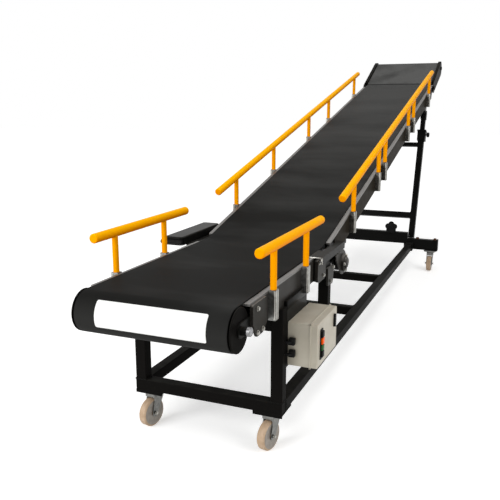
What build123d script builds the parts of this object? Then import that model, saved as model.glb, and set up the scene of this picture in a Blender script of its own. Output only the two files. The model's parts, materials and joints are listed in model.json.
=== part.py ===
from build123d import *
from math import asin, atan2, cos, hypot, pi, radians, sin, tan
import os

os.makedirs("parts", exist_ok=True)

# Truck loading conveyor, in millimetres and degrees.
# +X is to the right seen from the loading end, +Y runs towards the truck, +Z is up.
# u is the distance along the machine from the axis of the front drum.
# On the boom and on the head, s runs along the belt from the hinge and h stands square to the belt.

# Belt and path
belt_width = 600
belt_thickness = 5
infeed_height = 725
infeed_length = 1010
boom_slope = 13.5
boom_length = 3670
head_slope = 25
head_length = 520
front_drum_radius = 75
drum_rim = 6
drum_recess = 12
drum_hub_radius = 28
head_drum_radius = 50
nose_radius = 30
nose_gap = 10
snub_radius = 25
snub_u = 200
drive_drum_radius = 45
drive_s = 178
drive_drop = 43
return_radius = 15
shaft_radius = 10
face_margin = 2

# Frames of the belt
bed_thickness = 8
bed_end_gap = 30
belt_side_gap = 2
channel_depth = 100
channel_flange = 20
channel_wall = 4
infeed_channel_start = 72
infeed_channel_gap = 110
boom_channel_start = 148
boom_channel_gap = 90
plate_thickness = 8
corner_radius = 8
cross_tie = 30
infeed_tie_start = 480
infeed_tie_inset = 270
boom_tie_start = 700
boom_tie_clearance = 50
boom_tie_count = 5

# Take-up, hinges and plates
take_up_radius = 27
take_up_end_u = 150
take_up_nut_length = 30
side_plate_end_u = 205
side_plate_lobe_u = 114
side_plate_lobe_radius = 15
side_plate_lobe_pitch = 48
side_plate_drop = 9
hinge_pin_radius = 10
pin_clearance = 0.3
pin_head_radius = 16
pin_head_length = 8
pin_overhang = 2
knee_plate_length = 205
knee_plate_foot = 30
inner_plate_length = 300
inner_plate_foot = 60
head_plate_radius = 46
head_end_radius = 66
drive_flange_radius = 42
drive_flange_length = 27
flange_round = 6
hanger_half = 50

# Base and uprights
tube = 50
tube_round = 4
base_overhang = 14
base_bottom = 172
front_beam_u = 362
upright_forward = 7
cross_member_shares = (0.258, 0.551)
rear_beam_half = 540
rear_beam_height = 90
middle_beam_rise = 45
middle_beam_height = 95
outrigger_lap = 25

# Casters
wheel_radius = 62.5
wheel_width = 36
tread_chamfer = 5
hub_radius = 40
hub_recess = 4
hub_boss_radius = 14
axle_radius = 6
axle_overhang = 4
running_clearance = 0.1
fork_wall = 4
fork_gap = 3
fork_eye_radius = 16
fork_top_half = 22
fork_corner = 8
caster_trail = 35
caster_plate = 100
caster_plate_thickness = 5
swivel_radius = 34
swivel_height = 14
swivel_gap = 0.3
king_pin_radius = 8
front_caster_inset = 61
front_caster_back = 63
front_swivel = -12
rear_caster_inset = 55

# Side rails: each share is the way from the first post of the boom to its last one
rail_radius = 19
rail_end_round = 6
post_radius = 12.5
post_depth = 80
post_clearance = 0.3
socket_wall = 2.2
socket_length = 115
socket_rise = 12
infeed_rail_height = 161
infeed_rail_start = 108
infeed_rail_inset = 158
infeed_post_start = 252
infeed_post_inset = 370
boom_rail_height = 150
boom_rail_lead = 212
boom_rail_tail = 181
boom_post_start = 470
boom_post_inset = 400
left_post_shares = (0, 0.221, 0.495, 0.689, 1)
right_post_shares = (0, 0.229, 0.3, 0.614, 0.7, 1)

# Rear legs
leg_lean = 19.26
leg_inset = 15
leg_wall = 4
leg_slide_gap = 1
leg_pin_back = 35
leg_pin_rise = 50
leg_top_inset = 440
leg_top_drop = 55
leg_show = 165
leg_stroke_room = 167
leg_eye_thickness = 8
leg_eye_radius = 33
leg_eye_gap = 2
leg_eye_neck = 48
leg_open_clearance = 14
foot_block_start = 32
foot_block_length = 10
foot_eye_radius = 22
lug_radius = 26
collar_wall = 10
collar_length = 84
leg_tie_low = 230
leg_tie_high = 122
thin_tie = 35

# Guard and cover beside the knee
guard_width = 102
guard_length = 446
guard_thickness = 42
guard_corner = 20
guard_round = 8
guard_lead = 108
guard_gap = 58
guard_rise = 15
guard_arm = 20
guard_arm_drop = 30
guard_arm_seat = 30
cover_lead = 210
cover_tail = 180
cover_gap = 5
cover_width = 62
cover_thickness = 6
cover_lip = 27

# Controls and hand knob
box_depth = 122
box_length = 285
box_height = 182
box_gap = 13
box_bottom = 363
lid_thickness = 34
lid_round = 5
box_round = 8
panel_thickness = 6
panel_foot = 3
panel_inset = 45
panel_top_gap = 12
button_plate_width = 36
button_plate_thickness = 3
button_plate_margin = 6
button_inset = 50
button_radius = 12
button_length = 8
button_pitch = 30
button_count = 4
lock_width = 16
lock_height = 56
lock_depth = 9
lock_inset = 48
lock_rise = 132
gland_inset = 20
gland_rise = 57
gland_pitch = 50
gland_radius = 10
gland_length = 18
gland_sides = 6
lead_radius = 5
lead_bend = 13
knob_x = 150
knob_rise = 38
knob_radius = 32
knob_lobes = 5
knob_lobe_radius = 17
knob_thickness = 32
knob_gap = 7
knob_stem_radius = 12
knob_bracket_half = 16
knob_bracket_thickness = 16

# Worked-out places
belt_half = belt_width / 2
nose_outer = nose_radius + belt_thickness
nose_set = nose_outer + nose_gap / 2
knee_z = infeed_height - nose_outer
bed_top = nose_radius
channel_top = bed_top - bed_thickness
channel_bottom = channel_top - channel_depth
channel_half = belt_half + belt_side_gap + channel_flange
infeed_channel_end = infeed_length - infeed_channel_gap
drum_z = infeed_height - belt_thickness - front_drum_radius
front_drum_outer = front_drum_radius + belt_thickness
drive_h = channel_bottom - drive_drop
web_inner = channel_half - channel_wall
lip_inside = channel_top - channel_wall
inner_plate_face = web_inner - plate_thickness
outer_face = channel_half + plate_thickness
base_half = channel_half + base_overhang
upright_x = base_half - tube / 2
base_top = base_bottom + tube
front_beam_end = front_beam_u + tube
mid_upright_u = infeed_length - upright_forward
middle_beam_bottom = base_bottom + middle_beam_rise
middle_beam_top = middle_beam_bottom + middle_beam_height
head_drum_h = nose_radius - head_drum_radius
head_drum_outer = head_drum_radius + belt_thickness
boom_run = boom_length * cos(radians(boom_slope))
boom_rise = boom_length * sin(radians(boom_slope))
boom_tie_end = boom_length - inner_plate_length - boom_tie_clearance
boom_tie_pitch = (boom_tie_end - boom_tie_start) / (boom_tie_count - 1)
boom_ties_s = [boom_tie_start + i * boom_tie_pitch for i in range(boom_tie_count)]
return_rollers_s = [s + boom_tie_pitch / 2 for s in boom_ties_s[:-1]]
head_tip_u = (
    infeed_length + boom_run + head_length * cos(radians(head_slope))
    - head_drum_h * sin(radians(head_slope)) + head_drum_outer
)
# The origin is on the floor, half way along the whole machine
front_y = -(head_tip_u - front_drum_outer) / 2


def side_plane(u, z, slope):
    # Plane seen from the right-hand side: local x along the belt, local y square to it, normal +X
    direction = (0, cos(radians(slope)), sin(radians(slope)))
    return Plane(origin=(0, front_y + u, z), x_dir=direction, z_dir=(1, 0, 0))


def section_plane(side, s):
    # Plane across the belt at distance s: local x is +X, local y square to the belt, normal backwards
    return Plane(origin=side.from_local_coords((s, 0, 0)), x_dir=(1, 0, 0), z_dir=-side.x_dir)


level = side_plane(0, 0, 0)
infeed = side_plane(infeed_length, knee_z, 0)
boom = side_plane(infeed_length, knee_z, boom_slope)
head = side_plane(infeed_length + boom_run, knee_z + boom_rise, head_slope)

# Rollers: s, h, radius, turn, shaft half-length.
# Turn is 1 where the belt lies round the roller and -1 where the roller presses on its outer face
return_h = -nose_outer
snub_h = return_h - snub_radius
snub_step = drive_drum_radius + snub_radius + 2 * belt_thickness
front_drum_place = (-infeed_length, drum_z - knee_z, front_drum_radius, 1, inner_plate_face)
infeed_end_place = (-nose_set, 0, nose_radius, 1, channel_half)
infeed_snub_place = (snub_u - infeed_length, snub_h, snub_radius, -1, web_inner)
boom_tail_place = (nose_set, 0, nose_radius, 1, inner_plate_face)
boom_end_place = (boom_length - nose_set, 0, nose_radius, 1, inner_plate_face)
drive_place = (drive_s, drive_h, drive_drum_radius, 1, inner_plate_face)
rear_snub_place = (drive_s + snub_step, snub_h, snub_radius, -1, inner_plate_face)
front_snub_place = (drive_s - snub_step, snub_h, snub_radius, -1, inner_plate_face)
return_places = [(s, return_h - return_radius, return_radius, -1, web_inner) for s in return_rollers_s]
head_tail_place = (nose_set, 0, nose_radius, 1, channel_half)
head_drum_place = (head_length, head_drum_h, head_drum_radius, 1, channel_half)


def keep(part, name):
    part.label = name
    export_step(part, f"parts/{name}.step")


def belt_line(places, outward):
    # Closed line of runs and arcs round the rollers: outward 1 is the belt's outer face, 0 its inner one
    rings = []
    for s, h, radius, turn, shaft_half in places:
        lift = outward if turn == 1 else 1 - outward
        rings.append((s, h, radius + lift * belt_thickness, turn))
    starts = []
    ends = []
    for ring, following in zip(rings, rings[1:] + rings[:1]):
        run = following[0] - ring[0]
        rise = following[1] - ring[1]
        reach = following[3] * following[2] - ring[3] * ring[2]
        heading = atan2(rise, run) + asin(reach / hypot(run, rise))
        across = (sin(heading), -cos(heading))
        starts.append(tuple(ring[i] - ring[3] * ring[2] * across[i] for i in (0, 1)))
        ends.append(tuple(following[i] - following[3] * following[2] * across[i] for i in (0, 1)))
    for i, (s, h, radius, turn) in enumerate(rings):
        arrive = ends[i - 1]
        leave = starts[i]
        first = atan2(arrive[1] - h, arrive[0] - s)
        last = atan2(leave[1] - h, leave[0] - s)
        sweep = -((first - last) % (2 * pi)) if turn == 1 else (last - first) % (2 * pi)
        middle = first + sweep / 2
        ThreePointArc(arrive, (s + radius * cos(middle), h + radius * sin(middle)), leave)
        Line(leave, ends[i])


def belt(side, places):
    with BuildPart() as loop:
        with BuildSketch(side):
            with BuildLine():
                belt_line(places, 1)
            make_face()
            with BuildLine():
                belt_line(places, 0)
            make_face(mode=Mode.SUBTRACT)
        extrude(amount=belt_half, both=True)
    return loop.part


def rollers(side, places):
    with BuildPart() as turned:
        for s, h, radius, turn, shaft_half in places:
            with BuildSketch(side):
                with Locations((s, h)):
                    Circle(radius)
            extrude(amount=belt_half - face_margin, both=True)
            with BuildSketch(side):
                with Locations((s, h)):
                    Circle(shaft_radius)
            extrude(amount=shaft_half, both=True)
    return turned.part


def channels(side, start, end):
    # Pair of channels with their flanges turned inwards
    with BuildPart() as pair:
        with BuildSketch(section_plane(side, start)):
            with Locations((channel_half - channel_flange / 2, channel_top - channel_depth / 2)):
                Rectangle(channel_flange, channel_depth)
            with Locations((web_inner - channel_flange / 2, channel_top - channel_depth / 2)):
                Rectangle(channel_flange, channel_depth - 2 * channel_wall, mode=Mode.SUBTRACT)
        extrude(amount=start - end)
        mirror(about=Plane.YZ)
    return pair.part


def bed(side, start, end):
    # Sheet under the belt that also covers the channels' top flanges
    with BuildPart() as slider:
        with BuildSketch(section_plane(side, start)):
            with Locations((0, bed_top - bed_thickness / 2)):
                Rectangle(2 * channel_half, bed_thickness)
        extrude(amount=start - end)
    return slider.part


def ties(side, stations):
    # Square tubes from web to web under the return run of the belt
    with BuildPart() as row:
        for s in stations:
            with BuildSketch(side):
                with Locations((s, channel_bottom + channel_wall + cross_tie / 2)):
                    RectangleRounded(cross_tie, cross_tie, tube_round)
            extrude(amount=web_inner, both=True)
    return row.part


def plates(side, corners, inner, thickness, bosses=(), holes=()):
    # Plates on both sides of the machine, hulled round corner circles of s, h, radius.
    # Bosses are s, h, radius, inner x, outer x. Holes are s, h, radius
    with BuildPart() as pair:
        with BuildSketch(side.offset(inner)):
            for s, h, radius in corners:
                with Locations((s, h)):
                    Circle(radius)
            make_hull()
        extrude(amount=thickness)
        for s, h, radius, first, last in bosses:
            with BuildSketch(side.offset(first)):
                with Locations((s, h)):
                    Circle(radius)
            extrude(amount=last - first)
        for s, h, radius in holes:
            with BuildSketch(side.offset(inner)):
                with Locations((s, h)):
                    Circle(radius)
            extrude(amount=thickness, mode=Mode.SUBTRACT)
        mirror(about=Plane.YZ)
    return pair.part


def block(x_span, u_span, z_span):
    # Block between two values of x, u and z
    with BuildPart() as solid:
        with BuildSketch(Plane.XY.offset(z_span[0])):
            with Locations(((x_span[0] + x_span[1]) / 2, front_y + (u_span[0] + u_span[1]) / 2)):
                Rectangle(x_span[1] - x_span[0], u_span[1] - u_span[0])
        extrude(amount=z_span[1] - z_span[0])
    return solid.part


# Belts, rollers, slider beds and channels of the infeed
infeed_start_s = infeed_channel_start - infeed_length
infeed_end_s = infeed_channel_end - infeed_length
keep(belt(infeed, [front_drum_place, infeed_end_place, infeed_snub_place]), "infeed_belt")
keep(rollers(infeed, [infeed_end_place, infeed_snub_place]), "infeed_rollers")
keep(bed(infeed, bed_end_gap - infeed_length + nose_radius, -nose_set - bed_end_gap), "infeed_bed")
keep(channels(infeed, infeed_start_s, infeed_end_s), "infeed_channels")
keep(ties(infeed, (infeed_tie_start - infeed_length, -infeed_tie_inset)), "infeed_ties")

# Front drum with a recess round the hub at each end
drum_place = (-infeed_length, drum_z - knee_z)
with BuildPart() as front_drum:
    add(rollers(infeed, [front_drum_place]))
    for start in (belt_half - face_margin - drum_recess, face_margin - belt_half):
        with BuildSketch(infeed.offset(start)):
            with Locations(drum_place):
                Circle(front_drum_radius - drum_rim)
                Circle(drum_hub_radius, mode=Mode.SUBTRACT)
        extrude(amount=drum_recess, mode=Mode.SUBTRACT)
keep(front_drum.part, "front_drum")

# Take-up bars inside the channels carry the front drum, and the side plates close the channels' front ends
take_up_corners = [
    (*drum_place, take_up_radius),
    (take_up_end_u - infeed_length, drum_place[1], take_up_radius),
]
take_up_nut = (*drum_place, pin_head_radius, web_inner, web_inner + take_up_nut_length)
keep(plates(infeed, take_up_corners, inner_plate_face, plate_thickness, [take_up_nut]), "take_up_plates")
side_plate_front = infeed_start_s + corner_radius
side_plate_back = side_plate_end_u - infeed_length - corner_radius
lobe_s = side_plate_lobe_u - infeed_length
lobe_h = channel_bottom - side_plate_drop
side_plate_corners = [
    (side_plate_front, channel_top - corner_radius, corner_radius),
    (side_plate_front, drum_place[1], corner_radius),
    (lobe_s, lobe_h, side_plate_lobe_radius),
    (lobe_s + side_plate_lobe_pitch, lobe_h, side_plate_lobe_radius),
    (side_plate_back, channel_bottom + corner_radius, corner_radius),
    (side_plate_back, channel_top - corner_radius, corner_radius),
]
keep(plates(infeed, side_plate_corners, channel_half, plate_thickness), "side_plates")

# Hinge plates of the knee: the outer pair is on the infeed and carries the pins
knee_corners = [
    (-knee_plate_length, channel_top - corner_radius, corner_radius),
    (-knee_plate_length, channel_bottom + corner_radius, corner_radius),
    (knee_plate_foot, channel_bottom + corner_radius, corner_radius),
    (0, 0, channel_top),
]
pin_inner = inner_plate_face - pin_overhang
hinge_pin = (0, 0, hinge_pin_radius, pin_inner, channel_half)
hinge_head = (0, 0, pin_head_radius, outer_face, outer_face + pin_head_length)
keep(plates(infeed, knee_corners, channel_half, plate_thickness, [hinge_pin, hinge_head]), "knee_plates")

# Boom: belt, rollers, bed, channels, ties and its own hinge plates inside the webs
boom_loop = [boom_tail_place, boom_end_place, rear_snub_place, drive_place, front_snub_place]
keep(belt(boom, boom_loop), "boom_belt")
boom_rollers = [boom_tail_place, boom_end_place, rear_snub_place, front_snub_place] + return_places
keep(rollers(boom, boom_rollers), "boom_rollers")
keep(rollers(boom, [drive_place]), "drive_drum")
bed_inset = nose_set + bed_end_gap
keep(bed(boom, bed_inset, boom_length - bed_inset), "boom_bed")
keep(channels(boom, boom_channel_start, boom_length - boom_channel_gap), "boom_channels")
keep(ties(boom, boom_ties_s), "boom_ties")
lip_top = lip_inside - corner_radius
lip_bottom = channel_bottom + channel_wall + corner_radius
hinge_hole = hinge_pin_radius + pin_clearance
boom_foot_corners = [
    (0, 0, lip_inside),
    (inner_plate_length, lip_top, corner_radius),
    (inner_plate_length, lip_bottom, corner_radius),
    (inner_plate_foot, lip_bottom, corner_radius),
]
keep(
    plates(boom, boom_foot_corners, inner_plate_face, plate_thickness, holes=[(0, 0, hinge_hole)]),
    "boom_foot_plates",
)
boom_tip_corners = [(boom_length - s, h, radius) for s, h, radius in boom_foot_corners]
keep(
    plates(boom, boom_tip_corners, inner_plate_face, plate_thickness, holes=[(boom_length, 0, hinge_hole)]),
    "boom_tip_plates",
)
hanger_corners = [
    (drive_s - hanger_half, channel_bottom - corner_radius, corner_radius),
    (drive_s + hanger_half, channel_bottom - corner_radius, corner_radius),
    (drive_s, drive_h, drive_flange_radius),
]
keep(plates(boom, hanger_corners, inner_plate_face, plate_thickness), "drive_hangers")
with BuildPart() as drive_flanges:
    with BuildSketch(boom.offset(web_inner)):
        with Locations((drive_s, drive_h)):
            Circle(drive_flange_radius)
    extrude(amount=drive_flange_length)
    fillet(drive_flanges.edges().group_by(Axis.X)[-1], flange_round)
    mirror(about=Plane.YZ)
keep(drive_flanges.part, "drive_flanges")

# Head: short steep belt between side plates that stand above it and end level with its tip
keep(belt(head, [head_tail_place, head_drum_place]), "head_belt")
keep(rollers(head, [head_tail_place, head_drum_place]), "head_rollers")
keep(bed(head, bed_inset, head_length - bed_end_gap), "head_bed")
head_end_s = head_length + head_drum_outer - head_end_radius
head_corners = [(0, 0, head_plate_radius), (head_end_s, head_drum_h, head_end_radius)]
head_nut = (head_length, head_drum_h, pin_head_radius, outer_face, outer_face + pin_head_length)
keep(
    plates(head, head_corners, channel_half, plate_thickness, [hinge_pin, hinge_head, head_nut]),
    "head_plates",
)

# The legs' top pins are set back from the boom's end, and the rear beam stands where the lean puts their feet
right_angle = 90
leg_top_s = boom_length - leg_top_inset
leg_top_h = channel_bottom - leg_top_drop
leg_top = boom.from_local_coords((leg_top_s, leg_top_h, 0))
leg_pin_z = base_bottom + leg_pin_rise
leg_pin_u = leg_top.Y - front_y - (leg_top.Z - leg_pin_z) * tan(radians(leg_lean))
rear_beam_u = leg_pin_u - leg_pin_back - tube

# Base frame on its casters
cross_start = mid_upright_u + tube
cross_members_u = [cross_start + share * (rear_beam_u - cross_start) for share in cross_member_shares]
with BuildPart() as base_rails:
    with BuildSketch(section_plane(level, front_beam_end)):
        with Locations((-upright_x, base_bottom + tube / 2), (upright_x, base_bottom + tube / 2)):
            RectangleRounded(tube, tube, tube_round)
    extrude(amount=front_beam_end - rear_beam_u)
keep(base_rails.part, "base_rails")
with BuildPart() as front_beam:
    with BuildSketch(level):
        with Locations((front_beam_u + tube / 2, base_bottom + tube / 2)):
            RectangleRounded(tube, tube, tube_round)
    extrude(amount=base_half, both=True)
keep(front_beam.part, "front_beam")
with BuildPart() as cross_members:
    with BuildSketch(level):
        with Locations(*[(u, base_bottom + tube / 2) for u in cross_members_u]):
            RectangleRounded(tube, tube, tube_round)
    extrude(amount=base_half - tube, both=True)
keep(cross_members.part, "cross_members")
outrigger_inner = base_half - tube - outrigger_lap
with BuildPart() as rear_beam:
    # An outrigger on each side, and a raised middle between them
    with BuildSketch(level.offset(outrigger_inner)):
        with Locations((rear_beam_u + tube / 2, base_bottom + rear_beam_height / 2)):
            RectangleRounded(tube, rear_beam_height, tube_round)
    extrude(amount=rear_beam_half - outrigger_inner)
    mirror(about=Plane.YZ)
    with BuildSketch(level):
        with Locations((rear_beam_u + tube / 2, middle_beam_bottom + middle_beam_height / 2)):
            RectangleRounded(tube, middle_beam_height, tube_round)
    extrude(amount=outrigger_inner + outrigger_lap, both=True)
keep(rear_beam.part, "rear_beam")
with BuildPart() as uprights:
    with BuildSketch(Plane.XY.offset(base_top)):
        for u in (front_beam_u, mid_upright_u):
            with Locations(*[(x, front_y + u + tube / 2) for x in (-upright_x, upright_x)]):
                RectangleRounded(tube, tube, tube_round)
    extrude(amount=knee_z + channel_bottom - base_top)
keep(uprights.part, "uprights")

# Casters: name, x, u, swivel angle
front_caster_x = base_half - front_caster_inset
front_caster_u = front_beam_u + front_caster_back
rear_caster_x = rear_beam_half - rear_caster_inset
casters = (
    ("front_left", -front_caster_x, front_caster_u, front_swivel),
    ("front_right", front_caster_x, front_caster_u, front_swivel),
    ("rear_left", -rear_caster_x, rear_beam_u + tube / 2, 0),
    ("rear_right", rear_caster_x, rear_beam_u + tube / 2, 0),
)
plate_bottom = base_bottom - caster_plate_thickness
ring_top = plate_bottom - swivel_gap
ring_bottom = ring_top - swivel_height
fork_inner = wheel_width / 2 + fork_gap
with BuildPart() as caster_plates:
    with BuildSketch(Plane.XY.offset(plate_bottom)):
        for name, x, u, swivel in casters:
            with Locations((x, front_y + u)):
                RectangleRounded(caster_plate, caster_plate, corner_radius)
    extrude(amount=caster_plate_thickness)
    with BuildSketch(Plane.XY.offset(plate_bottom)):
        for name, x, u, swivel in casters:
            with Locations((x, front_y + u)):
                Circle(king_pin_radius)
    extrude(amount=-swivel_height)
keep(caster_plates.part, "caster_plates")
for name, x, u, swivel in casters:
    turn = radians(swivel)
    rolling = Plane(
        origin=(x, front_y + u, 0),
        x_dir=(-sin(turn), cos(turn), 0),
        z_dir=(cos(turn), sin(turn), 0),
    )
    with BuildPart() as fork:
        with BuildSketch(Plane.XY.offset(ring_bottom)):
            with Locations((x, front_y + u)):
                Circle(swivel_radius)
                Circle(king_pin_radius + running_clearance, mode=Mode.SUBTRACT)
        extrude(amount=swivel_height)
        for offset in (fork_inner, -fork_inner - fork_wall):
            with BuildSketch(rolling.offset(offset)):
                with Locations((-caster_trail, wheel_radius)):
                    Circle(fork_eye_radius)
                with Locations((-fork_top_half, ring_bottom), (fork_top_half, ring_bottom)):
                    Circle(fork_corner)
                make_hull()
            extrude(amount=fork_wall)
        with BuildSketch(rolling):
            with Locations((-caster_trail, wheel_radius)):
                Circle(axle_radius)
        extrude(amount=fork_inner + fork_wall + axle_overhang, both=True)
    keep(fork.part, f"caster_fork_{name}")
    with BuildPart() as wheel:
        with BuildSketch(rolling):
            with Locations((-caster_trail, wheel_radius)):
                Circle(wheel_radius)
        extrude(amount=wheel_width / 2, both=True)
        chamfer(wheel.edges().filter_by(GeomType.CIRCLE), tread_chamfer)
        for offset in (wheel_width / 2 - hub_recess, -wheel_width / 2):
            with BuildSketch(rolling.offset(offset)):
                with Locations((-caster_trail, wheel_radius)):
                    Circle(hub_radius)
                    Circle(hub_boss_radius, mode=Mode.SUBTRACT)
            extrude(amount=hub_recess, mode=Mode.SUBTRACT)
        with BuildSketch(rolling):
            with Locations((-caster_trail, wheel_radius)):
                Circle(axle_radius + running_clearance)
        extrude(amount=wheel_width / 2, both=True, mode=Mode.SUBTRACT)
    keep(wheel.part, f"caster_wheel_{name}")

# Side rails: posts stand upright in square sockets on the channel webs
socket_size = 2 * (post_radius + post_clearance + socket_wall)
post_x = channel_half + socket_size / 2
socket_top_h = channel_top + socket_rise
infeed_rail_z = infeed_height + infeed_rail_height
boom_rail_h = nose_outer + boom_rail_height
infeed_posts_u = (infeed_post_start, infeed_length - infeed_post_inset)
boom_post_end = boom_length - boom_post_inset


def boom_height(u, h):
    # Height above the floor of the line at distance h square to the boom
    return knee_z + (u - infeed_length) * tan(radians(boom_slope)) + h / cos(radians(boom_slope))


def boom_station(s):
    # Distance u of the point on the channel's top at s
    return infeed_length + s * cos(radians(boom_slope)) - channel_top * sin(radians(boom_slope))


# Posts: side, u, top of the socket, centre of the rail
infeed_posts = [
    (side, u, knee_z + socket_top_h, infeed_rail_z) for side in (-1, 1) for u in infeed_posts_u
]
boom_posts = []
for side, shares in ((-1, left_post_shares), (1, right_post_shares)):
    for share in shares:
        u = boom_station(boom_post_start + share * (boom_post_end - boom_post_start))
        boom_posts.append((side, u, boom_height(u, socket_top_h), boom_height(u, boom_rail_h)))


def sockets(posts):
    with BuildPart() as group:
        for side, u, socket_top, rail_z in posts:
            with BuildSketch(Plane.XY.offset(socket_top)):
                with Locations((side * post_x, front_y + u)):
                    Rectangle(socket_size, socket_size)
                    Circle(post_radius + post_clearance, mode=Mode.SUBTRACT)
            extrude(amount=-post_depth)
            with BuildSketch(Plane.XY.offset(socket_top - post_depth)):
                with Locations((side * post_x, front_y + u)):
                    Rectangle(socket_size, socket_size)
            extrude(amount=post_depth - socket_length)
    return group.part


def posts_and_rails(side_view, posts, rail_h, start, end):
    with BuildPart() as rails:
        with BuildSketch(section_plane(side_view, start)):
            with Locations((-post_x, rail_h), (post_x, rail_h)):
                Circle(rail_radius)
        extrude(amount=start - end)
        fillet(rails.edges().filter_by(GeomType.CIRCLE), rail_end_round)
    with BuildPart() as uprights_of_rail:
        for side, u, socket_top, rail_z in posts:
            with BuildSketch(Plane.XY.offset(socket_top - post_depth)):
                with Locations((side * post_x, front_y + u)):
                    Circle(post_radius)
            extrude(amount=rail_z - socket_top + post_depth)
        with BuildSketch(section_plane(side_view, start)):
            with Locations((-post_x, rail_h), (post_x, rail_h)):
                Circle(rail_radius)
        extrude(amount=start - end, mode=Mode.SUBTRACT)
    return rails.part, uprights_of_rail.part


keep(sockets(infeed_posts), "infeed_sockets")
keep(sockets(boom_posts), "boom_sockets")
infeed_rails, infeed_rail_posts = posts_and_rails(
    infeed, infeed_posts, infeed_rail_z - knee_z,
    infeed_rail_start - infeed_length, -infeed_rail_inset,
)
keep(infeed_rails, "infeed_handrails")
keep(infeed_rail_posts, "infeed_rail_posts")
boom_rails, boom_rail_posts = posts_and_rails(
    boom, boom_posts, boom_rail_h, boom_post_start - boom_rail_lead, boom_post_end + boom_rail_tail
)
keep(boom_rails, "boom_handrails")
keep(boom_rail_posts, "boom_rail_posts")

# Rear legs: outer tubes on foot pins, inner tubes that slide out and end in eyes under the boom
leg_x = channel_half - leg_inset
leg_inner_size = tube - 2 * (leg_wall + leg_slide_gap)
leg_reach = (leg_top.Z - leg_pin_z) / cos(radians(leg_lean))
leg = side_plane(leg_pin_u, leg_pin_z, right_angle - leg_lean)
eye_inner = leg_x - leg_eye_thickness / 2
eye_outer = leg_x + leg_eye_thickness / 2
outer_start = foot_block_start + foot_block_length
outer_end = leg_reach - leg_show
with BuildPart() as leg_tubes:
    with BuildSketch(section_plane(leg, outer_start)):
        with Locations((leg_x, 0)):
            RectangleRounded(tube, tube, tube_round)
            Rectangle(tube - 2 * leg_wall, tube - 2 * leg_wall, mode=Mode.SUBTRACT)
    extrude(amount=outer_start - outer_end)
    with BuildSketch(section_plane(leg, foot_block_start)):
        with Locations((leg_x, 0)):
            RectangleRounded(tube, tube, tube_round)
    extrude(amount=-foot_block_length)
    with BuildSketch(leg.offset(eye_inner)):
        Circle(foot_eye_radius)
        for h in (tube / 2 - corner_radius, corner_radius - tube / 2):
            with Locations((foot_block_start, h)):
                Circle(corner_radius)
        make_hull()
    extrude(amount=leg_eye_thickness)
    with BuildSketch(leg.offset(eye_inner)):
        Circle(hinge_hole)
    extrude(amount=leg_eye_thickness, mode=Mode.SUBTRACT)
    mirror(about=Plane.YZ)
keep(leg_tubes.part, "leg_outer_tubes")
with BuildPart() as leg_ties:
    for d, size in ((leg_tie_low, tube), (outer_end - leg_tie_high, thin_tie)):
        with BuildSketch(leg):
            with Locations((d, 0)):
                RectangleRounded(size, size, tube_round)
        extrude(amount=leg_x - tube / 2, both=True)
keep(leg_ties.part, "leg_ties")
with BuildPart() as leg_collars:
    with BuildSketch(section_plane(leg, outer_end - collar_length)):
        with Locations((leg_x, 0)):
            RectangleRounded(tube + 2 * collar_wall, tube + 2 * collar_wall, tube_round)
            RectangleRounded(tube, tube, tube_round, mode=Mode.SUBTRACT)
    extrude(amount=-collar_length)
    mirror(about=Plane.YZ)
keep(leg_collars.part, "leg_collars")
inner_start = outer_start + leg_stroke_room
inner_end = leg_reach - leg_eye_neck
with BuildPart() as leg_inner_tubes:
    with BuildSketch(section_plane(leg, inner_start)):
        with Locations((leg_x, 0)):
            RectangleRounded(leg_inner_size, leg_inner_size, tube_round)
    extrude(amount=inner_start - inner_end)
    with BuildSketch(leg.offset(eye_inner)):
        with Locations((leg_reach, 0)):
            Circle(leg_eye_radius)
        for h in (leg_inner_size / 2 - corner_radius, corner_radius - leg_inner_size / 2):
            with Locations((inner_end, h)):
                Circle(corner_radius)
        make_hull()
    extrude(amount=leg_eye_thickness)
    with BuildSketch(leg.offset(eye_inner)):
        with Locations((leg_reach, 0)):
            Circle(hinge_pin_radius + leg_open_clearance)
    extrude(amount=leg_eye_thickness, mode=Mode.SUBTRACT)
    mirror(about=Plane.YZ)
keep(leg_inner_tubes.part, "leg_inner_tubes")


def clevis(side_view, corners, pin_place):
    # Two lug plates beside each leg with the pin between them
    near = eye_inner - leg_eye_gap - plate_thickness
    far = eye_outer + leg_eye_gap
    with BuildPart() as lugs:
        for inner in (near, far):
            with BuildSketch(side_view.offset(inner)):
                for s, h, radius in corners:
                    with Locations((s, h)):
                        Circle(radius)
                make_hull()
            extrude(amount=plate_thickness)
        with BuildSketch(side_view.offset(near)):
            with Locations(pin_place):
                Circle(hinge_pin_radius)
        extrude(amount=far + plate_thickness - near)
        mirror(about=Plane.YZ)
    return lugs.part


boom_lug_corners = [
    (leg_top_s - hanger_half, channel_bottom - corner_radius, corner_radius),
    (leg_top_s + hanger_half, channel_bottom - corner_radius, corner_radius),
    (leg_top_s, leg_top_h, lug_radius),
]
keep(clevis(boom, boom_lug_corners, (leg_top_s, leg_top_h)), "boom_leg_lugs")
beam_back = rear_beam_u + tube + corner_radius
foot_lug_corners = [
    (beam_back, leg_pin_z - lug_radius, corner_radius),
    (beam_back, leg_pin_z + lug_radius, corner_radius),
    (leg_pin_u, leg_pin_z, lug_radius),
]
keep(clevis(level, foot_lug_corners, (leg_pin_u, leg_pin_z)), "leg_foot_lugs")

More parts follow.
